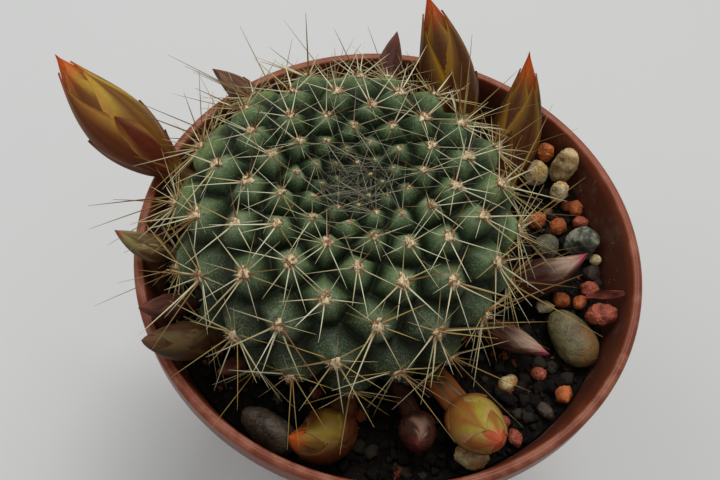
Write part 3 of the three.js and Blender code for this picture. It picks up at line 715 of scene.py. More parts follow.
def makeBody():
    turn = turns(plant["columns"])
    stations = np.linspace(0.12, flank.end, plant["rows"])
    s, angle = (grid.ravel() for grid in np.meshgrid(stations, turn, indexing="ij"))
    flat = flank.point(s, angle)
    height, depth, reach = relief(flat, flank.at(s)[1])
    dome = 1 - (1 - height) ** 2.2
    wobble = lumpsAt(flat, 2.6, 3.0) * 0.22 * smooth(height, 0, 0.4) * smooth(reach, 0.8, 2.0)
    creases = lumpsAt(flat * [1, 1, 0.45], 5.5, 8.0) * 0.5
    skin = flank.point(s, angle, depth * (dome - 1) + wobble + creases * (1 - dome))
    root = [ringed(radius, turn, level) + [plant["lean"] * level, 0, 0] for radius, level in plant["root"]]
    points = np.vstack([skin, *root, flank.point(np.array([0.0]), np.array([0.0]), -0.8)])
    rows = plant["rows"] + len(root)
    faces = [tuple(reversed(face)) for face in netFaces(rows, plant["columns"])]
    crown = rows * plant["columns"]
    faces += [(crown, i, (i + 1) % plant["columns"]) for i in range(plant["columns"])]
    spare = len(points) - len(skin)
    masks = {"ridge": height, **bodyMasks(s, angle)}
    for name, values in masks.items():
        below = np.full(spare, 1.0 if name == "soiled" else 0.0)
        below[-1] = name in ("soiled", "hollow")
        masks[name] = np.concatenate([values, below])
    addPiece("cactusBody", points + origin, faces, bodySurface(), ["cactus"], masks=masks)


makeBody()
print(f"cactus body made with {len(tips['s'])} tubercles")


# Buds: the places are those of the solids, bud_1 to bud_14. Each roots on the flank at an azimuth
# and a height, leaves it at one heading and pitch, and has its tip at another


def addBud(kind, azimuth, height, leaves, tip, length, width, **more):
    return dict(kind=kind, azimuth=azimuth, height=height, leaves=leaves, tip=tip, length=length,
                width=width, **more)


buds = [
    addBud("ripe", 169, 0.8, leaves=(159, 12), tip=(151, 24), length=31, width=10.9),
    addBud("ripe", 43, -5, leaves=(95, 27), tip=(110, 35), length=33, width=10.7),
    addBud("ripe", 26, -6, leaves=(54, 6), tip=(75, 32), length=30, width=9.7),
    addBud("young", 82, 0, leaves=(87, 7), tip=(85, 19), length=15.5, width=5.3),
    addBud("young", 127, 0.4, leaves=(136, 10), tip=(149, 16), length=13, width=4.8),
    addBud("young", 199, 0, leaves=(191, 13), tip=(178, 25), length=10.3, width=4.4),
    addBud("young", 217, -1.6, leaves=(216, 22), tip=(213, 33), length=9.5, width=4.3),
    addBud("middle", 232, -1, leaves=(221, 24), tip=(209, 31), length=12.6, width=5.9),
    addBud("young", 242, -6, leaves=(242, 27), tip=(229, 33), length=6, width=3),
    addBud("middle", 279.4, -5, leaves=(267, -19), tip=(233, 18), length=13, width=8.3, reach=11.4),
    addBud("young", 296, -7, leaves=(306, -9), tip=(289, 19), length=12.6, width=6, reach=11.5, neck=0.4),
    addBud("middle", 310, -7, leaves=(310, -8), tip=(308.5, 21), length=18.6, width=8.6, reach=13.5,
           neck=0.4),
    addBud("young", 336, -7.5, leaves=(334, 5), tip=(336, 8.5), length=14.2, width=4.7),
    addBud("young", 353, -7, leaves=(350, 5), tip=(18, 12), length=18.4, width=6.5),
]

budBuild = {
    "root": 1.5,  # how deep in the flank it begins
    "coreRows": 40,
    "coreColumns": 28,
    "tepalRows": 26,
    "tepalColumns": 13,
    "thickness": 0.2,  # of a tepal on a bud 10 mm wide
    "streak": (0.16, 0.04, 0.012),
    "speck": (0.1, 0.025, 0.01),
}

budForms = {
    "ripe": {"neck": 0.14, "neckWidth": 0.36, "belly": 0.48, "fullness": 1.05},
    "middle": {"neck": 0.24, "neckWidth": 0.5, "belly": 0.46, "fullness": 0.66},
    "young": {"neck": 0.26, "neckWidth": 0.5, "belly": 0.42, "fullness": 0.82},
}


# A round of tepals: how many, from which angle, where they start and end along the bud, the share of
# the girth that each covers, how far it stands off, how much its tip opens, and if it is a small scale
def addWhorl(count, turn, start, end, cover, lift, opens, scale=False):
    return dict(count=count, turn=turn, start=start, end=end, cover=cover, lift=lift, opens=opens,
                scale=scale)


budWhorls = {
    "ripe": [
        addWhorl(3, 40, start=0.08, end=0.34, cover=0.075, lift=0.3, opens=0.3, scale=True),
        addWhorl(4, 75, start=0.14, end=0.58, cover=0.13, lift=0.26, opens=0.2, scale=True),
        addWhorl(4, 20, start=0.1, end=0.86, cover=0.2, lift=0.2, opens=0.2),
        addWhorl(4, 65, start=0.2, end=0.95, cover=0.24, lift=0.07, opens=0.35),
        addWhorl(3, 0, start=0.3, end=1.0, cover=0.42, lift=0.0, opens=0.0),
    ],
    "middle": [
        addWhorl(3, 40, start=0.1, end=0.6, cover=0.17, lift=0.34, opens=0.15, scale=True),
        addWhorl(3, 0, start=0.12, end=0.93, cover=0.38, lift=0.18, opens=0.1),
        addWhorl(3, 60, start=0.2, end=1.0, cover=0.42, lift=0.02, opens=0.0),
    ],
    "young": [
        addWhorl(3, 30, start=0.1, end=0.68, cover=0.2, lift=0.3, opens=0.15, scale=True),
        addWhorl(3, 90, start=0.1, end=1.0, cover=0.42, lift=0.08, opens=0.1),
    ],
}


# Colours of a bud's base, its belly, the stripe down each tepal, its margin, its point and its upper side,
# and where the last ones begin; the upper side's colour is painted light, making the side towards the lamp
# lighter
def mixPaint(base, belly, stripe, margin, point, top, topWidth=0.1, topStart=0.0, topTurn=0,
             stripeShare=0.9, pointStart=0.76):
    return dict(base=base, belly=belly, stripe=stripe, margin=margin, point=point, top=top,
                topWidth=topWidth, topStart=topStart, topTurn=topTurn, stripeShare=stripeShare,
                pointStart=pointStart)


# By the buds' numbers; the ones not named here have the young paint
budPaints = {
    1: mixPaint((0.08, 0.036, 0.007), (0.17, 0.062, 0.01), (0.085, 0.013, 0.005),
                (0.5, 0.22, 0.06), (0.54, 0.07, 0.012), (0.42, 0.29, 0.025), topTurn=35),
    2: mixPaint((0.03, 0.014, 0.002), (0.075, 0.032, 0.003), (0.036, 0.007, 0.0015),
                (0.44, 0.21, 0.012), (0.44, 0.05, 0.004), (0.09, 0.043, 0.003)),
    3: mixPaint((0.028, 0.018, 0.002), (0.075, 0.037, 0.004), (0.042, 0.008, 0.002),
                (0.38, 0.17, 0.013), (0.46, 0.06, 0.005), (0.09, 0.046, 0.004)),
    5: mixPaint((0.03, 0.018, 0.01), (0.12, 0.065, 0.037), (0.07, 0.025, 0.016),
                (0.3, 0.19, 0.11), (0.13, 0.035, 0.025), (0.22, 0.14, 0.08)),
    6: mixPaint((0.03, 0.027, 0.008), (0.12, 0.095, 0.03), (0.07, 0.03, 0.014),
                (0.32, 0.24, 0.12), (0.26, 0.085, 0.05), (0.27, 0.24, 0.09)),
    8: mixPaint((0.018, 0.014, 0.005), (0.042, 0.03, 0.01), (0.028, 0.012, 0.006),
                (0.12, 0.08, 0.035), (0.12, 0.05, 0.027), (0.075, 0.055, 0.018)),
    10: mixPaint((0.015, 0.007, 0.002), (0.05, 0.015, 0.003), (0.05, 0.012, 0.003),
                 (0.18, 0.095, 0.04), (0.36, 0.06, 0.006), (0.2, 0.15, 0.01),
                 topWidth=0.66, stripeShare=0.5, pointStart=0.84),
    11: mixPaint((0.012, 0.006, 0.004), (0.028, 0.01, 0.007), (0.028, 0.008, 0.006),
                 (0.06, 0.03, 0.022), (0.08, 0.014, 0.014), (0.36, 0.22, 0.16),
                 topWidth=0.9, topStart=0.3, stripeShare=0.4),
    12: mixPaint((0.03, 0.026, 0.005), (0.3, 0.16, 0.035), (0.26, 0.075, 0.022),
                 (0.5, 0.26, 0.15), (0.42, 0.065, 0.03), (0.3, 0.28, 0.02), pointStart=0.82),
    # Buds 13 and 14: the cream top near the tip is a painted highlight, and 13's dark base and belly paint
    # the shade over its lower part
    13: mixPaint((0.014, 0.011, 0.005), (0.045, 0.02, 0.011), (0.05, 0.013, 0.01),
                 (0.22, 0.11, 0.08), (0.36, 0.05, 0.08), (0.62, 0.46, 0.33),
                 topStart=0.42, topWidth=0.35, stripeShare=0.3),
    14: mixPaint((0.01, 0.005, 0.003), (0.028, 0.009, 0.005), (0.03, 0.008, 0.005),
                 (0.12, 0.045, 0.04), (0.3, 0.035, 0.06), (0.62, 0.46, 0.34),
                 topStart=0.5, topWidth=0.45, stripeShare=0.3),
}
youngPaint = mixPaint((0.02, 0.01, 0.006), (0.055, 0.02, 0.013), (0.04, 0.012, 0.008),
                      (0.17, 0.085, 0.06), (0.16, 0.04, 0.035), (0.09, 0.035, 0.025))


# The share of the way from the neck to the point
def ripeShare(bud, t):
    neck = bud.get("neck", budForms[bud["kind"]]["neck"])
    return np.clip((np.asarray(t, dtype=float) - neck) / (1 - neck), 0, 1)


def budRadius(bud, t):
    form = budForms[bud["kind"]]
    neck = form["neckWidth"] * bud["width"] / 2
    along = ripeShare(bud, t)
    power = math.log(0.5) / math.log(form["belly"])
    swell = np.maximum(np.sin(math.pi * along ** power), 0) ** form["fullness"]
    return neck * (1 - along) + (bud["width"] / 2 - neck * (1 - form["belly"])) * swell


class BudLine:
    # The curve that a bud grows along, with its frame

    def __init__(self, bud):
        below = np.argmax((flank.s > 20) & (flank.z <= bud["height"]))
        azimuth = math.radians(bud["azimuth"])
        r, z = flank.r[below] - budBuild["root"], flank.z[below]
        self.start = np.array([r * math.cos(azimuth) + plant["lean"] * z, r * math.sin(azimuth), z])
        self.over = self.start + headed(*bud["leaves"]) * bud.get("reach", bud["length"] / 2)
        self.end = self.start + headed(*bud["tip"]) * (bud["length"] + budBuild["root"])

    def centre(self, t):
        return curveAt(self.start, self.over, self.end, np.asarray(t, dtype=float)[..., None])

    def point(self, t, angle, radius):
        tangent = headingAt(self.start, self.over, self.end, np.asarray(t, dtype=float)[..., None])
        side = unit(np.cross([0.0, 0.0, 1.0], tangent))
        top = np.cross(tangent, side)
        reach, turn = np.asarray(radius)[..., None], np.asarray(angle)[..., None]
        return self.centre(t) + reach * (side * np.cos(turn) + top * np.sin(turn))


# Colours of a tepal's points: t runs over the belly, along and across over the tepal itself
def tepalTint(paint, t, angle, along, across, streak, scale):
    color = mixed(paint["base"], paint["belly"], smooth(t, 0.0, 0.35))
    start = paint["topStart"]
    # Painted light: the tepals' upper side turns to the top colour, on buds 13 and 14 a painted highlight
    # near the tip
    upward = np.sin(angle - math.radians(paint["topTurn"])) + 0.16 * (streak - 0.5)
    litUpper = smooth(upward, paint["topWidth"], 1.0) * smooth(t + 0.1 * streak, start, start + 0.3)
    color = mixed(color, paint["top"], litUpper * (0.0 if scale else 0.8))
    edge = smooth(np.abs(across), 0.35, 0.95) * smooth(along, 0.1, 0.5) * (0.55 - 0.3 * streak)
    color = mixed(color, paint["margin"], edge)
    reach = 0.85 - 0.55 * smooth(along, 0.4, 0.95)
    flame = 1 - smooth(np.abs(across), 0.35 * reach, reach)
    stripe = flame * (0.7 + 0.3 * streak) * smooth(along, 0.0, 0.12)
    share = 1.5 if scale else paint["stripeShare"]
    color = mixed(color, paint["stripe"], np.clip(stripe * share, 0, 1))
    if scale:
        return mixed(color, paint["stripe"], smooth(along, 0.6, 0.95) * 0.7)
    near = t + 0.07 * streak - 0.05 * np.abs(across)
    return mixed(color, paint["point"], smooth(near, paint["pointStart"], 1.0) * 0.95)


# A tepal's points, faces and colours: a thin sheet that lies round the bud
def makeTepal(bud, line, whorl, centreAngle, paint, seed):
    rows, columns = budBuild["tepalRows"], budBuild["tepalColumns"]
    size, scale = bud["width"] / 10, whorl["scale"]
    along, across = np.meshgrid(np.linspace(0, 1, rows), np.linspace(-1, 1, columns), indexing="ij")
    draw = random.Random(seed)
    end = whorl["end"] * (1 - 0.06 * draw.random()) if whorl["end"] < 1 else 1.0
    t = whorl["start"] + (end - whorl["start"]) * along
    narrow = (1 - along ** (1.5 if scale else 2.3)) ** 0.85 * (0.7 + 0.3 * smooth(along, 0, 0.3))
    turn = whorl["cover"] * 2 * math.pi * narrow * across
    wave = 0.03 * np.sin(9 * along + 6 * draw.random()) * across
    arch = 1 - across ** 2
    lift = whorl["lift"] * (0.35 + 0.65 * arch) * smooth(along, 0, 0.25)
    ripple = wave + 0.05 * np.cos(across * 9) * arch
    radius = budRadius(bud, t) + (lift + whorl["opens"] * along ** 6 + ripple - 0.1) * size
    angle = centreAngle + turn + 0.09 * along * math.sin(seed)
    points = line.point(t, angle, np.maximum(radius, 0.05)).reshape(-1, 3)
    under = line.point(t, angle, np.maximum(radius - budBuild["thickness"] * size, 0.02)).reshape(-1, 3)
    fibre = 0.5 + 0.5 * np.sin(across * 17 + 6 * draw.random() + 3 * along)
    tint = tepalTint(paint, ripeShare(bud, t), angle, along, across, fibre, scale).reshape(-1, 3)
    return np.vstack([points, under]), sheetFaces(rows, columns), np.vstack([tint, tint * 0.8])


# The plain body of a bud that the tepals lie on
def makeCore(bud, line, paint):
    rows, columns = budBuild["coreRows"], budBuild["coreColumns"]
    t, turn = np.meshgrid(np.linspace(0, 1, rows), turns(columns), indexing="ij")
    radius = np.maximum(budRadius(bud, t) - 0.25 * bud["width"] / 10, 0.05)
    points = line.point(t, turn, radius).reshape(-1, 3)
    skin = mixed(paint["base"], paint["belly"], smooth(ripeShare(bud, t), 0.1, 0.6))
    tint = mixed(skin, paint["point"], smooth(t, 0.75, 0.97)).reshape(-1, 3)
    return points, netFaces(rows, columns), tint


def budSurface():
    surface = Surface("budSkin", specular=0.13, ior=1.42)
    tint = surface.tint()
    streaks = surface.lumps(0.9, 4.0, 0.6)
    specks = surface.lumps(0.28, 2.0).step(0.6, 0.72)
    streaked = tint.mix(0.5, budBuild["streak"])
    color = tint.mix(streaks.step(0.35, 0.75) * 0.45, streaked).mix(specks * 0.16, budBuild["speck"])
    return surface.finish(color, 0.38 + streaks * 0.16, (specks, 0.015), (streaks, 0.06))


def makeBuds():
    surface = budSurface()
    for number, bud in enumerate(buds, start=1):
        line = BudLine(bud)
        paint = budPaints.get(number, youngPaint)
        sheets = [makeCore(bud, line, paint)]
        for level, whorl in enumerate(budWhorls[bud["kind"]]):
            for i in range(whorl["count"]):
                centreAngle = math.radians(whorl["turn"] + 360 * i / whorl["count"])
                seed = number * 100 + level * 10 + i
                sheets.append(makeTepal(bud, line, whorl, centreAngle, paint, seed))
        faces, first = [], 0
        for points, net, _ in sheets:
            faces += [tuple(corner + first for corner in face) for face in net]
            first += len(points)
        points, tints = (np.vstack([sheet[part] for sheet in sheets]) for part in (0, 2))
        addPiece(f"bud{number}", points + origin, faces, surface, [f"bud_{number}"],
                 tint=tints)


makeBuds()
print(f"{len(buds)} buds made")


# Stones: each takes its place and form from its solid, rounded and broken up

stoneLooks = {
    "pale": {"round": 1.0, "lumps": 0.25, "size": 4.0, "fine": 0.03,
             "dark": (0.08, 0.062, 0.024), "light": (0.165, 0.14, 0.066)},
    "grey": {"round": 1.0, "lumps": 0.3, "size": 3.0, "fine": 0.05,
             "dark": (0.026, 0.017, 0.01), "light": (0.08, 0.057, 0.038)},
    "green": {"round": 0.9, "lumps": 0.3, "size": 3.0, "fine": 0.05,
              "dark": (0.06, 0.055, 0.03), "light": (0.19, 0.18, 0.11)},
    "dark": {"round": 0.4, "lumps": 0.4, "size": 2.2, "fine": 0.09,
             "dark": (0.03, 0.034, 0.022), "light": (0.09, 0.098, 0.066)},
    "brown": {"round": 0.5, "lumps": 0.4, "size": 1.4, "fine": 0.12,
              "dark": (0.012, 0.008, 0.006), "light": (0.045, 0.03, 0.02)},
    "block": {"round": 0.3, "lumps": 0.2, "size": 1.7, "fine": 0.05,
              "dark": (0.2, 0.14, 0.065), "light": (0.45, 0.37, 0.22)},
    "cream": {"round": 0.85, "lumps": 0.3, "size": 1.7, "fine": 0.08,
              "dark": (0.42, 0.27, 0.07), "light": (0.85, 0.78, 0.54)},
    "orange": {"round": 0.6, "lumps": 0.34, "size": 1.1, "fine": 0.12,
               "dark": (0.26, 0.055, 0.012), "light": (0.6, 0.17, 0.04)},
    "red": {"round": 0.7, "lumps": 0.36, "size": 1.2, "fine": 0.14,
            "dark": (0.16, 0.03, 0.014), "light": (0.44, 0.1, 0.055)},
    "tan": {"round": 0.85, "lumps": 0.3, "size": 1.9, "fine": 0.07,
            "dark": (0.17, 0.075, 0.016), "light": (0.66, 0.53, 0.27)},
}
# Stones that look otherwise than their slot's name says
ownLooks = {
    "stone_grey_green": "green", "stone_dark_brown": "brown", "stone_tan_small": "orange",
    "stone_cream_block": "block"}


def stoneSurface(look):
    surface = Surface(f"{look}Stone", specular=0.35)
    broad = surface.lumps(2.6, 5.0, 0.6)
    fine = surface.lumps(0.5, 4.0, 0.65)
    grains = surface.cells(0.45)
    pits = 1 - surface.cells(1.7).step(0.06, 0.12)
    dark, light = stoneLooks[look]["dark"], stoneLooks[look]["light"]
    color = surface.mix(broad.step(0.35, 0.68), dark, light)
    color = color.mix(fine.step(0.5, 0.72) * 0.4, tuple(1.4 * c + 0.02 for c in light))
    color = color.mix((1 - fine.step(0.25, 0.45)) * 0.5, tuple(0.5 * c for c in dark))
    roughness = 0.55 + fine * 0.25
    if look == "pale":
        stain = surface.lumps(6.5, 3.0).step(0.5, 0.66)
        color = color.mix(stain * 0.6, (0.24, 0.1, 0.025)).mix(pits * 0.8, (0.02, 0.018, 0.015))
        roughness = 0.34 + fine * 0.25
    if look == "grey":
        crystals = surface.lumps(0.7, 3.0, 0.7).step(0.6, 0.7)
        color = color.mix(crystals * 0.6, (0.22, 0.19, 0.16))
        roughness = 0.26 + fine * 0.3
    if look == "dark":
        cap = surface.lumps(3.4, 3.0).step(0.5, 0.6)
        color = color.mix(cap * 0.75, (0.3, 0.3, 0.235))
    if look in ("red", "orange", "tan", "cream"):
        crystals = (1 - grains.step(0.12, 0.24)) * broad.step(0.45, 0.6)
        color = color.mix(crystals * 0.6, (0.55, 0.45, 0.36))
    if look in ("tan", "cream"):
        rust = surface.lumps(2.4, 3.0).step(0.52, 0.66)
        color = color.mix(rust * 0.7, (0.42, 0.145, 0.025))
    if look in ("orange", "red"):
        holes = (1 - surface.cells(0.75).step(0.12, 0.4)) * broad.step(0.4, 0.55) * 0.5
        color = color.mix(holes, tuple(0.3 * c for c in dark))
        fine = fine - holes
    return surface.finish(color, roughness, (pits, -0.05), (grains, 0.05), (fine, 0.14))


# The solid's mesh split a few times, flat and rounded, as two sets of points
def splitSolid(node, levels):
    shape = addObject("shape", frame["nodes"][node].data.copy())
    shape.modifiers.new("weld", "WELD").merge_threshold = 0.01 * mm
    split = shape.modifiers.new("split", "SUBSURF")
    split.levels = levels
    found = []
    for kind in ("SIMPLE", "CATMULL_CLARK"):
        split.subdivision_type = kind
        graph = bpy.context.evaluated_depsgraph_get()
        mesh = shape.evaluated_get(graph).to_mesh()
        found.append(pointsOf(mesh))
        faces = [tuple(face.vertices) for face in mesh.polygons]
    bpy.data.objects.remove(shape)
    return *found, faces


def makeStones():
    surfaces = {look: stoneSurface(look) for look in stoneLooks}
    slots = {part["node"]: part["material_slot"] for part in frame["record"]["subparts"]}
    stones = sorted(node for node in frame["nodes"] if node.startswith("stone_"))
    for number, node in enumerate(stones):
        look = ownLooks.get(node, slots[node].replace("stone_", ""))
        form = stoneLooks[look]
        large = len(frame["nodes"][node].data.polygons) > 40
        flat, rounded, faces = splitSolid(node, 3)
        centre = flat.mean(axis=0)
        span = np.ptp(flat, axis=0).max()
        rounded = centre + (rounded - centre) * (np.ptp(flat, axis=0) / np.ptp(rounded, axis=0))
        points = flat + (rounded - flat) * form["round"]
        out = unit(points - centre)
        grain = min(form["size"], span / 2.2)
        depth = form["lumps"] * min(1.0, span / 5)
        bulge = lumpsAt(points, grain, number) * depth
        bulge += lumpsAt(points, grain / 3.1, number + 5) * depth * 0.4
        bulge += lumpsAt(points, 0.4, number + 9) * form["fine"] * (1.0 if large else 0.6)
        name = "".join(word.capitalize() for word in node.split("_")[1:]) + "Stone"
        addPiece(name, points + out * bulge[:, None], faces, surfaces[look], [node])
    print(f"{len(stones)} stones made")


makeStones()


# Soil: a rough surface inside the pot with loose crumbs and grit on it

soil = {
    "level": 65.2,
    "clearance": 0.3,
    "lumpSize": 3.4,
    "roughness": 1.1,
    "moundHeight": 2.2,
    "moundRadius": 8.0,
    "mound": (31.0, 22.0),
    "rings": 92,
    "sides": 300,
    "earth": [(0.004, 0.0035, 0.003), (0.01, 0.008, 0.006)],
    "worn": (0.022, 0.017, 0.012),
    "specks": (0.13, 0.09, 0.06),
}

crumbs = {
    "count": 1700,
    "seed": 17,
    "smallest": 0.3,
    "largest": 1.25,
    "bareRadius": 25.0,  # none lie this near the plant's middle,
    "bareLevel": -12.0,  # taken at this height, because the body leans
    "dust": (0.2, 0.15, 0.11),
    "colors": [  # each with its share of the crumbs
        ((0.005, 0.004, 0.0035), 0.64),
        ((0.012, 0.009, 0.007), 0.2),
        ((0.024, 0.018, 0.013), 0.08),
        ((0.05, 0.043, 0.032), 0.02),
        ((0.14, 0.036, 0.013), 0.04),
        ((0.1, 0.06, 0.026), 0.02),
    ],
}


def cornerValue(x, y, z):
    wave = np.sin(x * 127.1 + y * 311.7 + z * 74.7) * 43758.5453
    return wave - np.floor(wave)


# The same smooth lumps as the solid's surface has
def soilLumps(x, y, z):
    cell = [np.floor(x), np.floor(y), np.floor(z)]
    share = [smooth(v - c, 0, 1) for v, c in zip((x, y, z), cell)]
    total = 0
    for corner in range(8):
        step = (corner & 1, (corner >> 1) & 1, (corner >> 2) & 1)
        weight = 1
        for axis in range(3):
            weight = weight * (share[axis] if step[axis] else 1 - share[axis])
        total = total + weight * cornerValue(cell[0] + step[0], cell[1] + step[1], cell[2] + step[2])
    return total


def soilHeight(x, y):
    lump = soilLumps(x / soil["lumpSize"], y / soil["lumpSize"], np.full_like(x, 1.5)) - 0.5
    toMound = np.hypot(x - soil["mound"][0], y - soil["mound"][1]) / soil["moundRadius"]
    mound = soil["moundHeight"] * np.exp(-toMound * toMound)
    return soil["level"] + mound + soil["roughness"] * lump


def soilSurface():
    surface = Surface("grittySoil", specular=0.1)
    broad = surface.lumps(3.0, 4.0)
    fine = surface.lumps(0.6, 5.0, 0.7)
    grit = surface.cells(0.7)
    color = surface.mix(broad.step(0.4, 0.65), *soil["earth"])
    color = color.mix(fine.step(0.52, 0.68) * 0.5, soil["worn"])
    specks = (1 - grit.step(0.1, 0.2)) * surface.lumps(1.5, 2.0).step(0.52, 0.58)
    color = color.mix(specks * 0.6, soil["specks"])
    return surface.finish(color, 0.8 + fine * 0.2, (grit, 0.12), (fine, 0.35))


def makeSoil():
    sides, clearance = soil["sides"], soil["clearance"]
    turn = turns(sides)
    share = np.linspace(1, 0, soil["rings"])[:-1] ** 0.85
    outer = innerRadius(soil["level"]) - clearance
    flat = ringed(np.maximum(outer * share, 0.5)[:, None], turn, np.zeros((len(share), 1))).reshape(-1, 3)
    flat[:, 2] = soilHeight(flat[:, 0], flat[:, 1])
    flat[:, 2] += 0.42 * lumpsAt(flat, 1.5, 2.0) + 0.28 * lumpsAt(flat, 0.62, 5.0)
    flat[:sides, :2] = unit(flat[:sides, :2]) * (innerRadius(flat[:sides, 2]) - clearance)[:, None]
    foot, heel = pot["floor"], pot["floor"] + pot["heel"]
    under = [
        ringed(innerRadius(foot) - pot["heelWidth"] - clearance, turn, foot + 0.02),
        ringed(innerRadius(heel) - clearance, turn, heel)]
    rows = len(share) + len(under)
    faces = netFaces(rows, sides)
    faces.append(tuple(reversed(range(sides))))
    faces.append(tuple(range((rows - 1) * sides, rows * sides)))
    addPiece("soilBed", np.vstack([*under, flat]), faces, soilSurface(), ["soil"])


# A small rough ball of 42 points
def roughBall():
    bpy.ops.mesh.primitive_ico_sphere_add(subdivisions=2, radius=1)
    ball = bpy.context.object
    points = np.array([tuple(v.co) for v in ball.data.vertices])
    faces = np.array([tuple(face.vertices) for face in ball.data.polygons])
    bpy.data.objects.remove(ball)
    return points, faces


def crumbSurface():
    surface = Surface("looseCrumbs", specular=0.12)
    tint = surface.tint()
    fine = surface.lumps(0.35, 4.0, 0.7)
    color = tint.mix(fine.step(0.45, 0.7) * 0.4, tint.mix(0.15, crumbs["dust"]))
    return surface.finish(color, 0.75 + fine * 0.25, (fine, 0.1))


def makeCrumbs():
    draw = random.Random(crumbs["seed"])
    ball, ballFaces = roughBall()
    wide = innerRadius(soil["level"]) - soil["clearance"]
    bareCentre = origin[:2] + [plant["lean"] * crumbs["bareLevel"], 0.0]
    points, faces, tints = [], [], []
    while len(points) < crumbs["count"]:
        spot = np.array([draw.uniform(-wide, wide), draw.uniform(-wide, wide)])
        size = crumbs["smallest"] + (crumbs["largest"] - crumbs["smallest"]) * draw.random() ** 2.6
        if math.hypot(*spot) > wide - 1.1 * size or math.dist(spot, bareCentre) < crumbs["bareRadius"]:
            continue
        height = float(soilHeight(spot[:1], spot[1:])[0])
        stretch = np.array([1 + 0.35 * draw.random(), 1.0, 0.6 + 0.3 * draw.random()])
        spin = np.array(Matrix.Rotation(draw.uniform(0, math.pi), 3, "Z"))
        shift = draw.uniform(0, 60)
        wave = np.sin(ball @ np.array([3.1, 1.7, 2.3]) + shift)
        rough = 1 + 0.42 * wave * np.cos(ball @ np.array([1.3, -2.9, 3.7]) + shift)
        shape = (ball * rough[:, None] * stretch * size) @ spin.T + [*spot, height + 0.3 * size]
        faces.append(ballFaces + len(points) * len(ball))
        points.append(shape)
        pick = draw.random()
        for color, share in crumbs["colors"]:
            pick -= share
            if pick <= 0:
                break
        tints.append(np.tile(np.array(color) * draw.uniform(0.7, 1.3), (len(ball), 1)))
    addPiece("soilCrumbs", np.vstack(points), np.vstack(faces).tolist(), crumbSurface(),
             tint=np.vstack(tints))


makeSoil()
makeCrumbs()
print("soil made")


# Dried petal, from the stones up to the pot's wall

driedPetal = {
    "from": (36.5, -4.1, 68.9),
    "over": (39.6, -4.8, 71.6),
    "to": (41.6, -4.9, 73.9),
    "width": 2.5,
    "thickness": 0.2,
    "roll": 70,
    "rows": 40,
    "columns": 11,
    "colors": [(0.13, 0.022, 0.013), (0.29, 0.058, 0.032)],
    "veins": (0.05, 0.012, 0.008),
}


def petalSurface():
    surface = Surface("driedPetal")
    veins = surface.lumps(0.5, 4.0, 0.6)
    color = surface.mix(surface.lumps(1.8, 3.0).step(0.35, 0.65), *driedPetal["colors"])
    color = color.mix(veins.step(0.55, 0.7) * 0.5, driedPetal["veins"])
    return surface.finish(color, 0.5 + veins * 0.25, (veins, 0.08))


def makePetal():
    rows, columns = driedPetal["rows"], driedPetal["columns"]
    ends = [np.array(driedPetal[key]) for key in ("from", "over", "to")]
    t = np.linspace(0, 1, rows)[:, None]
    centre, tangent = curveAt(*ends, t), headingAt(*ends, t)
    side = unit(np.cross([0.0, 0.0, 1.0], tangent))
    face = np.cross(tangent, side)
    roll = np.radians(driedPetal["roll"]) * (t - 0.3)
    turned = side * np.cos(roll) + face * np.sin(roll)
    lifted = face * np.cos(roll) - side * np.sin(roll)
    width = (driedPetal["width"] / 2 * (0.35 + 0.65 * np.sin(math.pi * (0.12 + 0.8 * t))))[:, None]
    across = np.linspace(-1, 1, columns)[None, :, None]
    curl = across * (1.3 + 0.9 * t[:, None])
    flat = np.sin(curl) / 1.5 * width
    rise = (1 - np.cos(curl)) * 0.6 * width + 0.14 * np.sin(across * 9 + 16 * t[:, None])
    points = (centre[:, None] + turned[:, None] * flat + lifted[:, None] * rise).reshape(-1, 3)
    under = points - np.repeat(lifted, columns, axis=0) * driedPetal["thickness"]
    addPiece("curledPetal", np.vstack([points, under]), sheetFaces(rows, columns), petalSurface(),
             ["dried_petal"])


makePetal()
print("petal made")


# Spines and wool, aimed clear of the buds, stones, soil and pot

spines = {
    "radials": 7,
    "flankRadials": 13,
    "backRadials": 5,
    "nestRadials": 5,
    "nestReach": 10.5,
    "sunk": 0.5,
    "spread": 0.35,
    "radialStart": 5.4,
    "radialGrowth": 0.2,
    "radialMost": 12.0,
    "centralShort": 6.5,
    "centralLong": 18.0,
    "pitch": 16,
    "centralPitch": 50,
    "thickness": 0.122,
    "steps": 6,
    "sides": 5,
    "tries": 10,
    "clearOf": {"bud": 0.4, "stone": 0.3, "pot": 0.5, "soil": 0.8},
    "seed": 41,
}

spinePaints = {
    "base": (0.28, 0.07, 0.014),
    "pale": (0.78, 0.77, 0.53),
    "gold": (0.44, 0.31, 0.075),
    "brown": (0.13, 0.035, 0.012),
    "tip": (0.26, 0.15, 0.05),
    "nest": (0.13, 0.127, 0.09),
    "bands": (0.26, 0.19, 0.06),
}


# Balls round the buds and the stones that no spine runs through
def makeObstacles():
    centres, sizes = [], []
    for bud in buds:
        line = BudLine(bud)
        t = (np.arange(14) + 0.5) / 13.5
        centres.append(line.centre(t))
        sizes.append(budRadius(bud, t) + spines["clearOf"]["bud"])
    for node in frame["nodes"]:
        if node.startswith("stone_"):
            low, high = (np.array(corner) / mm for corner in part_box(node))
            centres.append(((low + high) / 2 - origin)[None])
            sizes.append(np.array([(high - low).max() / 2 + spines["clearOf"]["stone"]]))
    return np.vstack(centres), np.concatenate(sizes)


obstacles, obstacleSizes = makeObstacles()


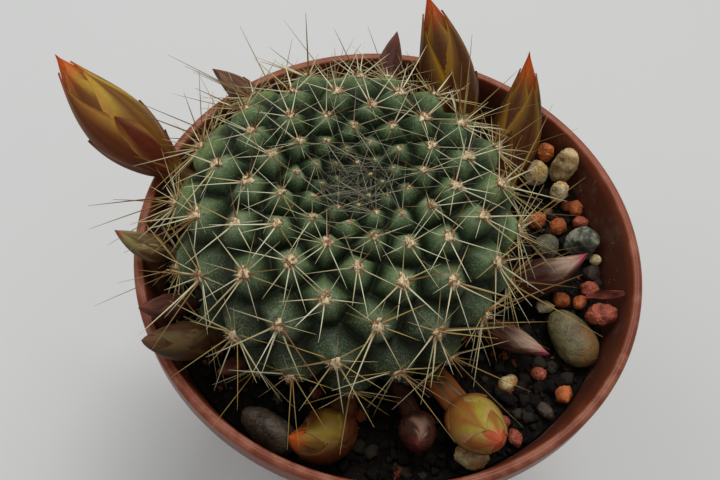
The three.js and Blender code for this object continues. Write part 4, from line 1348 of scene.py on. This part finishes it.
def isClear(line):
    world = line[1:] + origin
    clear = spines["clearOf"]
    fromAxis = np.hypot(world[:, 0], world[:, 1])
    wall = innerRadius(np.minimum(world[:, 2], pot["height"])) - clear["pot"]
    if ((world[:, 2] < pot["height"] + clear["pot"]) & (fromAxis > wall)).any():
        return False
    if ((world[:, 2] < soil["level"] + clear["soil"]) & (fromAxis < innerRadius(pot["height"]))).any():
        return False
    gap = np.linalg.norm(line[1:, None, :] - obstacles[None], axis=2)
    return not (gap < obstacleSizes[None]).any()


# A spine's points, slightly bent towards its tip
def spineLine(start, toward, length, bend):
    t = np.linspace(0, 1, spines["steps"])[:, None]
    return start + toward * length * t + bend * length * 0.06 * t * t


def spineWidth(draw, s, length):
    t = np.linspace(0, 1, spines["steps"])
    thick = spines["thickness"] * (0.42 + 0.58 * float(smooth(s, 3, 26))) * draw.uniform(0.6, 1.15)
    return thick * (1 + 0.9 * np.exp(-t * length / 0.5)) * (1 - 0.8 * t ** 1.6)


def spineTint(color, length, tipShare):
    t = np.linspace(0, 1, spines["steps"])
    tint = mixed(spinePaints["base"], color, smooth(t * length, 0.3, 1.3))
    return mixed(tint, spinePaints["tip"], smooth(t, 0.8, 1.0) * tipShare)


# A radial's swing from straight down, its pitch off the skin and its length
def aimRadial(draw, k, count, s):
    share = 2 * (k + 0.5 + draw.uniform(-0.45, 0.45)) / count - 1
    length = min(spines["radialStart"] + spines["radialGrowth"] * s, spines["radialMost"])
    if s < spines["nestReach"]:
        swing = math.pi * (share if draw.random() < 0.4 else 1 + 0.35 * share)
        return swing, draw.gauss(14, 8), length * draw.uniform(0.9, 1.5)
    swing = math.pi * math.copysign(abs(share) ** (1.3 - 0.4 * float(smooth(s, 24, 36))), share)
    length *= (0.8 + 0.2 * math.cos(swing)) * draw.uniform(0.62, 1.15)
    return swing, spines["pitch"] + draw.gauss(0, 9), length


def aimCentral(draw, s):
    grown = float(smooth(s, 3, 40)) ** 2
    length = spines["centralShort"] + (spines["centralLong"] - spines["centralShort"]) * grown
    swing = math.pi * (1 - grown) + math.radians(draw.gauss(0, 50 + 35 * grown))
    return swing, spines["centralPitch"] + draw.gauss(0, 13), length * draw.uniform(0.6, 1.1)


def spineColor(draw, s, swing, central):
    age = float(smooth(s, 12, 38))
    if central:
        share = draw.random() * (0.12 + 0.5 * age) + 0.18 * age
        color = mixed(spinePaints["brown"], spinePaints["gold"], share)
    elif s < spines["nestReach"]:
        color = mixed(spinePaints["nest"], spinePaints["pale"], 0.55 * draw.random() ** 2)
    else:
        upward = 0.5 - 0.5 * math.cos(swing)
        share = np.clip(draw.gauss(0.1 + 0.45 * age + 0.3 * upward, 0.28), 0, 1)
        color = mixed(spinePaints["pale"], spinePaints["gold"], share)
        color = mixed(color, spinePaints["brown"], 0.35 * upward * draw.random())
    return np.asarray(color) * draw.uniform(0.7, 1.08)


# How many radials and centrals an areole has: more on the flank and at the back, fewer in front
def countSpines(draw, s, out):
    onFlank = float(smooth(s, 20, 36))
    more = onFlank * (1 - 0.75 * max(0.0, -out[1]))
    if s < spines["nestReach"]:
        radials, likely = spines["nestRadials"], 0
    else:
        added = (spines["flankRadials"] - spines["radials"]) * more
        added += spines["backRadials"] * max(0.0, out[1], -0.8 * out[0]) * float(smooth(s, 18, 28))
        radials, likely = round(spines["radials"] + added) + draw.randint(-1, 1), 0.85
    return radials, sum(draw.random() < chance for chance in (likely, more, more))


def makeSpines():
    draw = random.Random(spines["seed"])
    groups = {"radial": ([], [], []), "central": ([], [], [])}
    for s, out, down, side, base in zip(*(tips[key] for key in ("s", "out", "down", "side", "base"))):
        radials, centrals = countSpines(draw, s, out)
        for k in range(radials + centrals):
            central = k >= radials
            for attempt in range(spines["tries"]):
                swing, pitch, length = aimCentral(draw, s) if central else aimRadial(draw, k, radials, s)
                pitch = math.radians(pitch + 4 * attempt)
                flat = down * math.cos(swing) + side * math.sin(swing)
                toward = out * math.sin(pitch) + flat * math.cos(pitch)
                start = base + flat * spines["spread"] - out * spines["sunk"]
                bend = -out * draw.uniform(-0.3, 1.0) + side * draw.uniform(-0.5, 0.5)
                line = spineLine(start, toward, length + spines["sunk"], bend)
                if isClear(line):
                    break
            else:
                continue
            lines, widths, tints = groups["central" if central else "radial"]
            lines.append(line)
            stout = 1.12 if central else 1.0 + 0.2 * math.cos(swing)
            widths.append(spineWidth(draw, s, length) * stout)
            tints.append(spineTint(spineColor(draw, s, swing, central), length, 0.5 if central else 0.25))
    return groups


def spineSurface():
    surface = Surface("spineHorn", specular=0.4)
    tint = surface.tint()
    bands = surface.lumps(0.9, 2.0)
    color = tint.mix(bands.step(0.4, 0.65) * 0.25, tint.mix(0.5, spinePaints["bands"]))
    return surface.finish(color, 0.38 + bands * 0.15)


def addSpines():
    surface = spineSurface()
    for name, (lines, widths, tints) in makeSpines().items():
        points, faces, tint = sweepStalks(lines, widths, tints, spines["sides"])
        addPiece(f"{name}Spines", points + origin, faces, surface, tint=tint)
        print(f"{len(lines)} {name} spines made")


addSpines()


# Wool pads on the tubercles' tips

wool = {
    "radius": 0.84,
    "height": 0.5,
    "rings": 7,
    "columns": 12,
    "sunk": 0.12,
    "fibres": 46,
    "fibreLength": 1.15,
    "fibreWidth": 0.045,
    "fibreTaper": (1.0, 0.95, 0.75, 0.2),
    "fibreSides": 3,
    "cream": (0.85, 0.73, 0.46),
    "rust": (0.26, 0.07, 0.016),
    "lit": (0.8, 0.72, 0.5),
    "clumps": (0.2, 0.05, 0.012),
    "seed": 5,
}


def woolSurface():
    surface = Surface("areoleWool", specular=0.2)
    tint = surface.tint()
    fuzz = surface.lumps(0.22, 4.0, 0.7)
    clumps = surface.lumps(0.75, 2.0, 0.6).step(0.5, 0.58)
    color = tint.mix(fuzz.step(0.4, 0.7) * 0.4, tint.mix(0.5, wool["lit"]))
    return surface.finish(color.mix(clumps * 0.85, wool["clumps"]), 0.95, (fuzz, 0.12))


# The rings of a low pad with a wavy edge, from its rim to its top, and their colours
def padRings(tip, number, size, rust):
    turn = turns(wool["columns"])
    for k in range(wool["rings"]):
        polar = math.pi / 2 * (1 - k / (wool["rings"] - 1))
        rough = 0.28 * np.sin(3 * turn + number) + 0.18 * np.cos(5 * turn + 2 * number + k)
        ring = (size * math.sin(polar) * (1 + rough))[:, None]
        lift = wool["height"] * size * math.cos(polar) - wool["sunk"]
        reach = 1.25 * ring * np.cos(turn)[:, None] * tip["down"]
        patch = rust + 0.6 * np.sin(2 * turn + 1.7 * number + 1.4 * k) * np.cos(3 * turn + number)
        points = tip["base"] + tip["out"] * lift + reach + ring * np.sin(turn)[:, None] * tip["side"]
        yield points, mixed(wool["cream"], wool["rust"], np.clip(patch, 0, 1))


def drawFibre(draw, tip, size):
    swing, polar = draw.uniform(0, 2 * math.pi), math.acos(draw.uniform(0.1, 1.0))
    flat = tip["down"] * math.cos(swing) + tip["side"] * math.sin(swing)
    toward = unit(tip["out"] * math.cos(polar) + flat * math.sin(polar))
    lift = wool["height"] * size * math.cos(polar) - 0.2
    start = tip["base"] + flat * size * 0.8 * math.sin(polar) + tip["out"] * lift
    length = wool["fibreLength"] * draw.uniform(0.5, 1.1) * size
    curl = np.array([draw.uniform(-1, 1) for _ in range(3)]) * 0.35
    t = np.linspace(0, 1, len(wool["fibreTaper"]))[:, None]
    color = mixed(wool["cream"], wool["rust"], draw.random() ** 2) * draw.uniform(0.8, 1.2)
    return start + toward * length * t + curl * length * t * t, np.tile(color, (len(t), 1))


def addWool():
    draw = random.Random(wool["seed"])
    surface = woolSurface()
    rings, fibres, faces = [], [], []
    for i in range(len(tips["s"])):
        tip = {key: values[i] for key, values in tips.items()}
        grown = 0.28 + 0.72 * float(smooth(tip["s"], 4, 20))
        size = wool["radius"] * grown * draw.uniform(0.85, 1.15)
        faces += netFaces(wool["rings"], wool["columns"], True, len(rings) * wool["columns"])
        rings += padRings(tip, i, size, draw.uniform(0.0, 0.35))
        fibres += [drawFibre(draw, tip, size) for _ in range(wool["fibres"])]
    points, tints = (np.vstack(part) for part in zip(*rings))
    addPiece("woolPads", points + origin, faces, surface, tint=tints)
    lines, tints = zip(*fibres)
    widths = np.tile(wool["fibreWidth"] * np.array(wool["fibreTaper"]), (len(lines), 1))
    points, faces, tint = sweepStalks(lines, widths, tints, wool["fibreSides"])
    addPiece("woolFibres", points + origin, faces, surface, tint=tint)


addWool()
print("wool made")
